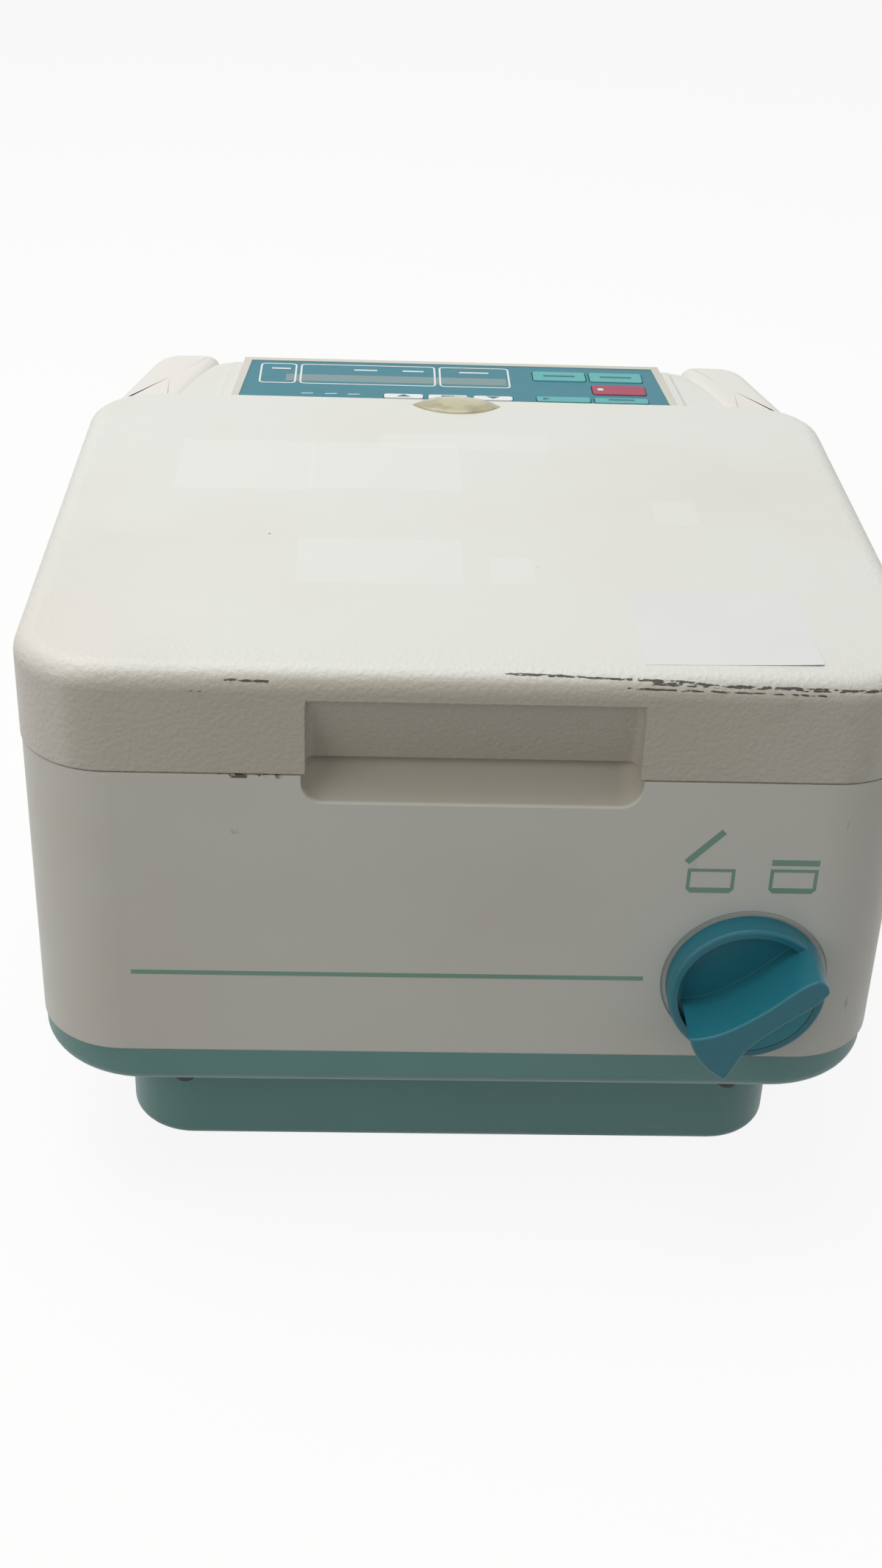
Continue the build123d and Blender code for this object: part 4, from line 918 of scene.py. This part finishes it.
class CENTRIFUGE_OT_panel(CentrifugeOperator, bpy.types.Operator):
    """Finish the key panel and print its fields and key signs."""

    bl_idname = "centrifuge.panel"
    bl_label = "Key panel"

    up = (0.0, 0.0, 1.0)

    def fields(self, ink):
        """White outlines of the three display fields, and a short dash over each."""
        boxes = ((-91.0, -74.5), (-72.0, -8.8), (-6.3, 26.3))
        near, far, corner = 295.0, 321.0, 2.0
        dashes = ((-86.0, -77.0), (-47.0, -36.0), (-24.0, -14.0), (3.0, 17.0))
        dash_depth, dash_width = 314.5, 1.6
        outline = self.sizes.outline_width
        edges = [on_top(rounded(left, right, near, far, corner), membrane_top) for left, right in boxes]
        lines = [strip(edge, self.up, outline, closed=True) for edge in edges]
        solid("panel_lines", lines, ink, "root", caps=False)
        paths = [((left, dash_depth), (right, dash_depth)) for left, right in dashes]
        strips = [strip(on_top(path, membrane_top), self.up, dash_width * MM) for path in paths]
        tick_length, tick_rise, tick_depth, tick_width = 5.5, 0.6, 281.5, 0.8
        for left in (-71.0, -60.0, -49.5):
            tick = ((left, tick_depth), (left + tick_length, tick_depth + tick_rise))
            strips.append(strip(on_top(tick, membrane_top), self.up, tick_width * MM))
        solid("panel_dashes", strips, ink, "root")

    def key_sign(self, key, shape, material):
        """Flat sign on a key, its points given round the key's middle in millimetres."""
        x, y, _ = middle_of(key)
        points = on_top(np.array(shape) + np.array([x, y - front_y]) / MM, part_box(key)[1].z)
        sign = solid(f"{key}_sign", [plate(points, self.up)], material, key)

    def execute(self, context):
        colours = self.colours
        dress(["control_panel"], film("membrane_teal", colours.membrane))
        strip_finish = moulded("frame_plastic", colours.frame_strip, 0.5, 900.0, 0.03, 0.3 * MM)
        dress(["panel_frame"], strip_finish)
        for word in ("green", "red", "white"):
            keys = [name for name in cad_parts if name.startswith(f"key_{word}")]
            dress(keys, film(f"key_{word}", getattr(colours, f"key_{word}")))
        dress(["display_window"], film("display_glass", colours.display, 0.2))
        white = film("panel_white", paint(232, 238, 238))
        dark = film("panel_dark", paint(52, 104, 118))
        self.fields(white)
        bar, low_bar = rectangle(-7.5, 7.5, -1.0, 1.0), rectangle(-6.0, 6.0, -0.2, 1.4)
        signs = {
            "green_back_left": (bar, dark),
            "green_back_right": (bar, dark),
            "green_front_right": (low_bar, dark),
            "green_front_left": (((-9.5, -1.6), (-6.4, 0.0), (-9.5, 1.6)), dark),
            "red": (rectangle(-10.0, -7.4, -1.3, 1.3), white),
            "white_left": (((-3.2, -1.2), (3.2, -1.2), (0.0, 1.6)), dark),
            "white_middle": (rectangle(-3.0, 3.0, -1.0, 1.2), dark),
            "white_right": (((-3.2, 1.6), (0.0, -1.2), (3.2, 1.6)), dark),
        }
        for key, (shape, material) in signs.items():
            self.key_sign(f"key_{key}", shape, material)
        return {"FINISHED"}


class CENTRIFUGE_OT_chamber(CentrifugeOperator, bpy.types.Operator):
    """Finish the bowl, the rotor and the drive, and mark the first tube place."""

    bl_idname = "centrifuge.chamber"
    bl_label = "Chamber, rotor and drive"

    def execute(self, context):
        dress(["bowl"], turned("stainless", paint(198, 198, 198), 0.28))
        dress(["rotor_body"], turned("rotor_metal", paint(176, 178, 182), 0.36, 700.0))
        dress(["rotor_nut"], turned("nut_metal", paint(150, 152, 156), 0.34))
        dark = brushed("dark_steel", paint(128, 128, 130), 0.3)
        dress(["bearing_lower", "bearing_upper", "motor_shaft", "hinge_pin_left", "hinge_pin_right"], dark)
        dress(["motor_can", "motor_cap"], moulded("motor_paint", paint(58, 58, 60), 0.4, 800.0, 0.05))
        dress(["stator", "armature"], brushed("copper_stack", paint(150, 118, 92), 0.45, (1.0, 1.0, 60.0)))
        mark_radius, mark_places, sides = 54.5 * MM, 6, 12
        dot, first_dot = 0.9 * MM, 1.44 * MM
        middle = (0.0, middle_of("rotor_body")[1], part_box("rotor_body")[1].z)
        ring = np.column_stack([circle(sides), np.zeros(sides)])
        marks = []
        for place, way in enumerate(circle(mark_places)):
            spot = np.array(middle) + mark_radius * np.array([*way, 0.0])
            marks.append(plate(spot + (dot if place else first_dot) * ring, (0.0, 0.0, 1.0)))
        solid("rotor_marks", marks, moulded("mark_ink", paint(40, 40, 42), 0.5), "rotor")
        return {"FINISHED"}


class CENTRIFUGE_OT_back(CentrifugeOperator, bpy.types.Operator):
    """Finish the back: inlet, fuse, switch, plate screws, switch signs and a blank rating plate."""

    bl_idname = "centrifuge.back"
    bl_label = "Back"

    backward = (0.0, 1.0, 0.0)
    pivot_depth = 4.5 * MM
    rocker_nose = 4.5 * MM
    sign_up = 5.0 * MM
    half_travel = math.radians(7.0)

    def rocker_face(self, side):
        """Middle, rise and outward direction of the rocker's upper (1) or lower (-1) face."""
        pivot = np.array([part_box("switch_frame")[1].y - self.pivot_depth, middle_of("switch_frame")[2]])
        cosine, sine = math.cos(self.half_travel), math.sin(self.half_travel)
        turn = np.array([[cosine, -sine], [sine, cosine]])
        out = self.rocker_nose + self.sign_up * math.tan(self.half_travel)
        place = pivot + turn @ np.array([out, side * self.sign_up])
        rise = turn @ np.array([side * sine, cosine])
        outward = turn @ np.array([cosine, -side * sine])
        middle = np.array([middle_of("power_rocker")[0], *place])
        return middle, np.array([0.0, *rise]), np.array([0.0, *outward])

    def rocker_signs(self, ink):
        """A bar on the rocker's upper face, and a ring on its lower one."""
        line, half_bar, ring_radius, ring_points = 0.6 * MM, 1.6 * MM, 1.5 * MM, 20
        middle, rise, outward = self.rocker_face(1)
        bar = strip([middle - rise * half_bar, middle + rise * half_bar], outward, line)
        solid("rocker_bar", [bar], ink, "rocker")
        middle, rise, outward = self.rocker_face(-1)
        ring = middle + ring_radius * circle(ring_points) @ np.array([(1.0, 0.0, 0.0), rise])
        solid("rocker_ring", [strip(ring, outward, line, closed=True)], ink, "rocker", caps=False)

    def execute(self, context):
        black = moulded("black_plastic", paint(46, 46, 48), 0.4, 900.0, 0.04)
        dress(["power_inlet", "fuse_holder", "switch_frame", "power_rocker", "lid_switch"], black)
        self.rocker_signs(moulded("sign_white", paint(226, 226, 226), 0.5))
        # painted shade: dark strips stand for the cross recesses in the screw heads
        recess = moulded("recess_dark", paint(50, 50, 52), 0.6)
        self.plate_screws(recess)
        half_cross, cross_line = 1.9 * MM, 0.7 * MM
        heads = {"liner_screws": ("lid", -1), "ear_screws": ("root", 1), "pan_screws": ("root", -1)}
        for node, (body, way) in heads.items():
            spots, normal = self.head_centres(node, way), (0.0, 0.0, float(way))
            solid(f"{node}_crosses", cross_marks(spots, normal, half_cross, cross_line), recess, body)
        self.rating_plate()
        return {"FINISHED"}

    def plate_screws(self, recess):
        """Four domed screws in the corners of the inlet plate, with crossed recesses drawn as painted
        shade in dark strips.
        """
        left, right, low, high = 11.5 * MM, 84.5 * MM, 91.5 * MM, 132.5 * MM
        head_radius, head_height, half_cross, cross_line = 2.6 * MM, 1.5 * MM, 1.3 * MM, 0.6 * MM
        spots = [(x, plate_face, z) for x in (left, right) for z in (low, high)]
        zinc = bpy.data.materials["zinc_steel"]
        heads = [dome(spot, self.backward, head_radius, head_height) for spot in spots]
        solid("plate_screws", heads, zinc, "root")
        tops = [np.array([x, y + head_height, z]) for x, y, z in spots]
        crosses = cross_marks(tops, self.backward, half_cross, cross_line)
        solid("plate_screw_crosses", crosses, recess, "root")

    def rating_plate(self):
        """Blank plate of brushed foil on the housing's back."""
        left, right, low, high, corner, thick = 20.0, 76.0, 148.0, 172.0, 1.5, 0.2 * MM
        outline = rounded(left, right, low, high, corner) * MM
        points = np.stack([outline[:, 0], np.full(len(outline), housing_back), outline[:, 1]], axis=-1)
        foil = brushed("rating_foil", paint(206, 207, 208), 0.35, (30.0, 1.0, 1.0))
        solid("rating_plate", [plate(points, self.backward, thick)], foil, "root")

    def head_centres(self, node, way):
        """Middles of the screw heads at a node's lowest or highest end, one for each screw."""
        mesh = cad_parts[node].data
        points = np.zeros(len(mesh.vertices) * 3)
        mesh.vertices.foreach_get("co", points)
        points = points.reshape(-1, 3)
        end = points[:, 2].min() if way < 0 else points[:, 2].max()
        level, reach, same = 0.01 * MM, 11 * MM, 3 * MM
        heads = points[np.abs(points[:, 2] - end) < level]
        cells = np.round(heads[:, :2] / reach).astype(int)
        centres = []
        for cell in np.unique(cells, axis=0):
            near = heads[(np.abs(heads[:, :2] - cell * reach) < reach).all(axis=1)]
            middle = (near.min(axis=0) + near.max(axis=0)) / 2
            if not any(np.linalg.norm(middle - other) < same for other in centres):
                centres.append(middle)
        return centres


class CENTRIFUGE_OT_electrics(CentrifugeOperator, bpy.types.Operator):
    """Finish the boards and the transformer inside."""

    bl_idname = "centrifuge.electrics"
    bl_label = "Electrics"

    def execute(self, context):
        dress(["control_board", "power_board"], board_finish("board_green"))
        iron = brushed("transformer_steel", paint(96, 96, 98), 0.5, (1.0, 1.0, 50.0), bare=0.8)
        dress(["transformer"], iron)
        return {"FINISHED"}


class CENTRIFUGE_PT_panel(bpy.types.Panel):
    """Lists the operators and the properties."""

    bl_label = "Centrifuge"
    bl_space_type = "VIEW_3D"
    bl_region_type = "UI"
    bl_category = "Centrifuge"

    def draw(self, context):
        for operator in OPERATORS:
            self.layout.operator(operator.bl_idname)
        for group in (context.scene.centrifuge_colours, context.scene.centrifuge_sizes):
            for name in group.__annotations__:
                self.layout.prop(group, name)


OPERATORS = (
    CENTRIFUGE_OT_stage,
    CENTRIFUGE_OT_shells,
    CENTRIFUGE_OT_shoulders,
    CENTRIFUGE_OT_knob,
    CENTRIFUGE_OT_front_print,
    CENTRIFUGE_OT_label,
    CENTRIFUGE_OT_sight_glass,
    CENTRIFUGE_OT_panel,
    CENTRIFUGE_OT_chamber,
    CENTRIFUGE_OT_back,
    CENTRIFUGE_OT_electrics,
)
CLASSES = (CentrifugeColours, CentrifugeSizes, *OPERATORS, CENTRIFUGE_PT_panel)


def register():
    for each in CLASSES:
        bpy.utils.register_class(each)
    bpy.types.Scene.centrifuge_colours = bpy.props.PointerProperty(type=CentrifugeColours)
    bpy.types.Scene.centrifuge_sizes = bpy.props.PointerProperty(type=CentrifugeSizes)


def unregister():
    del bpy.types.Scene.centrifuge_sizes
    del bpy.types.Scene.centrifuge_colours
    for each in reversed(CLASSES):
        bpy.utils.unregister_class(each)


def main():
    """Registers the add-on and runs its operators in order."""
    register()
    for operator in OPERATORS:
        group, name = operator.bl_idname.split(".")
        getattr(getattr(bpy.ops, group), name)()


if __name__ == "__main__":
    main()
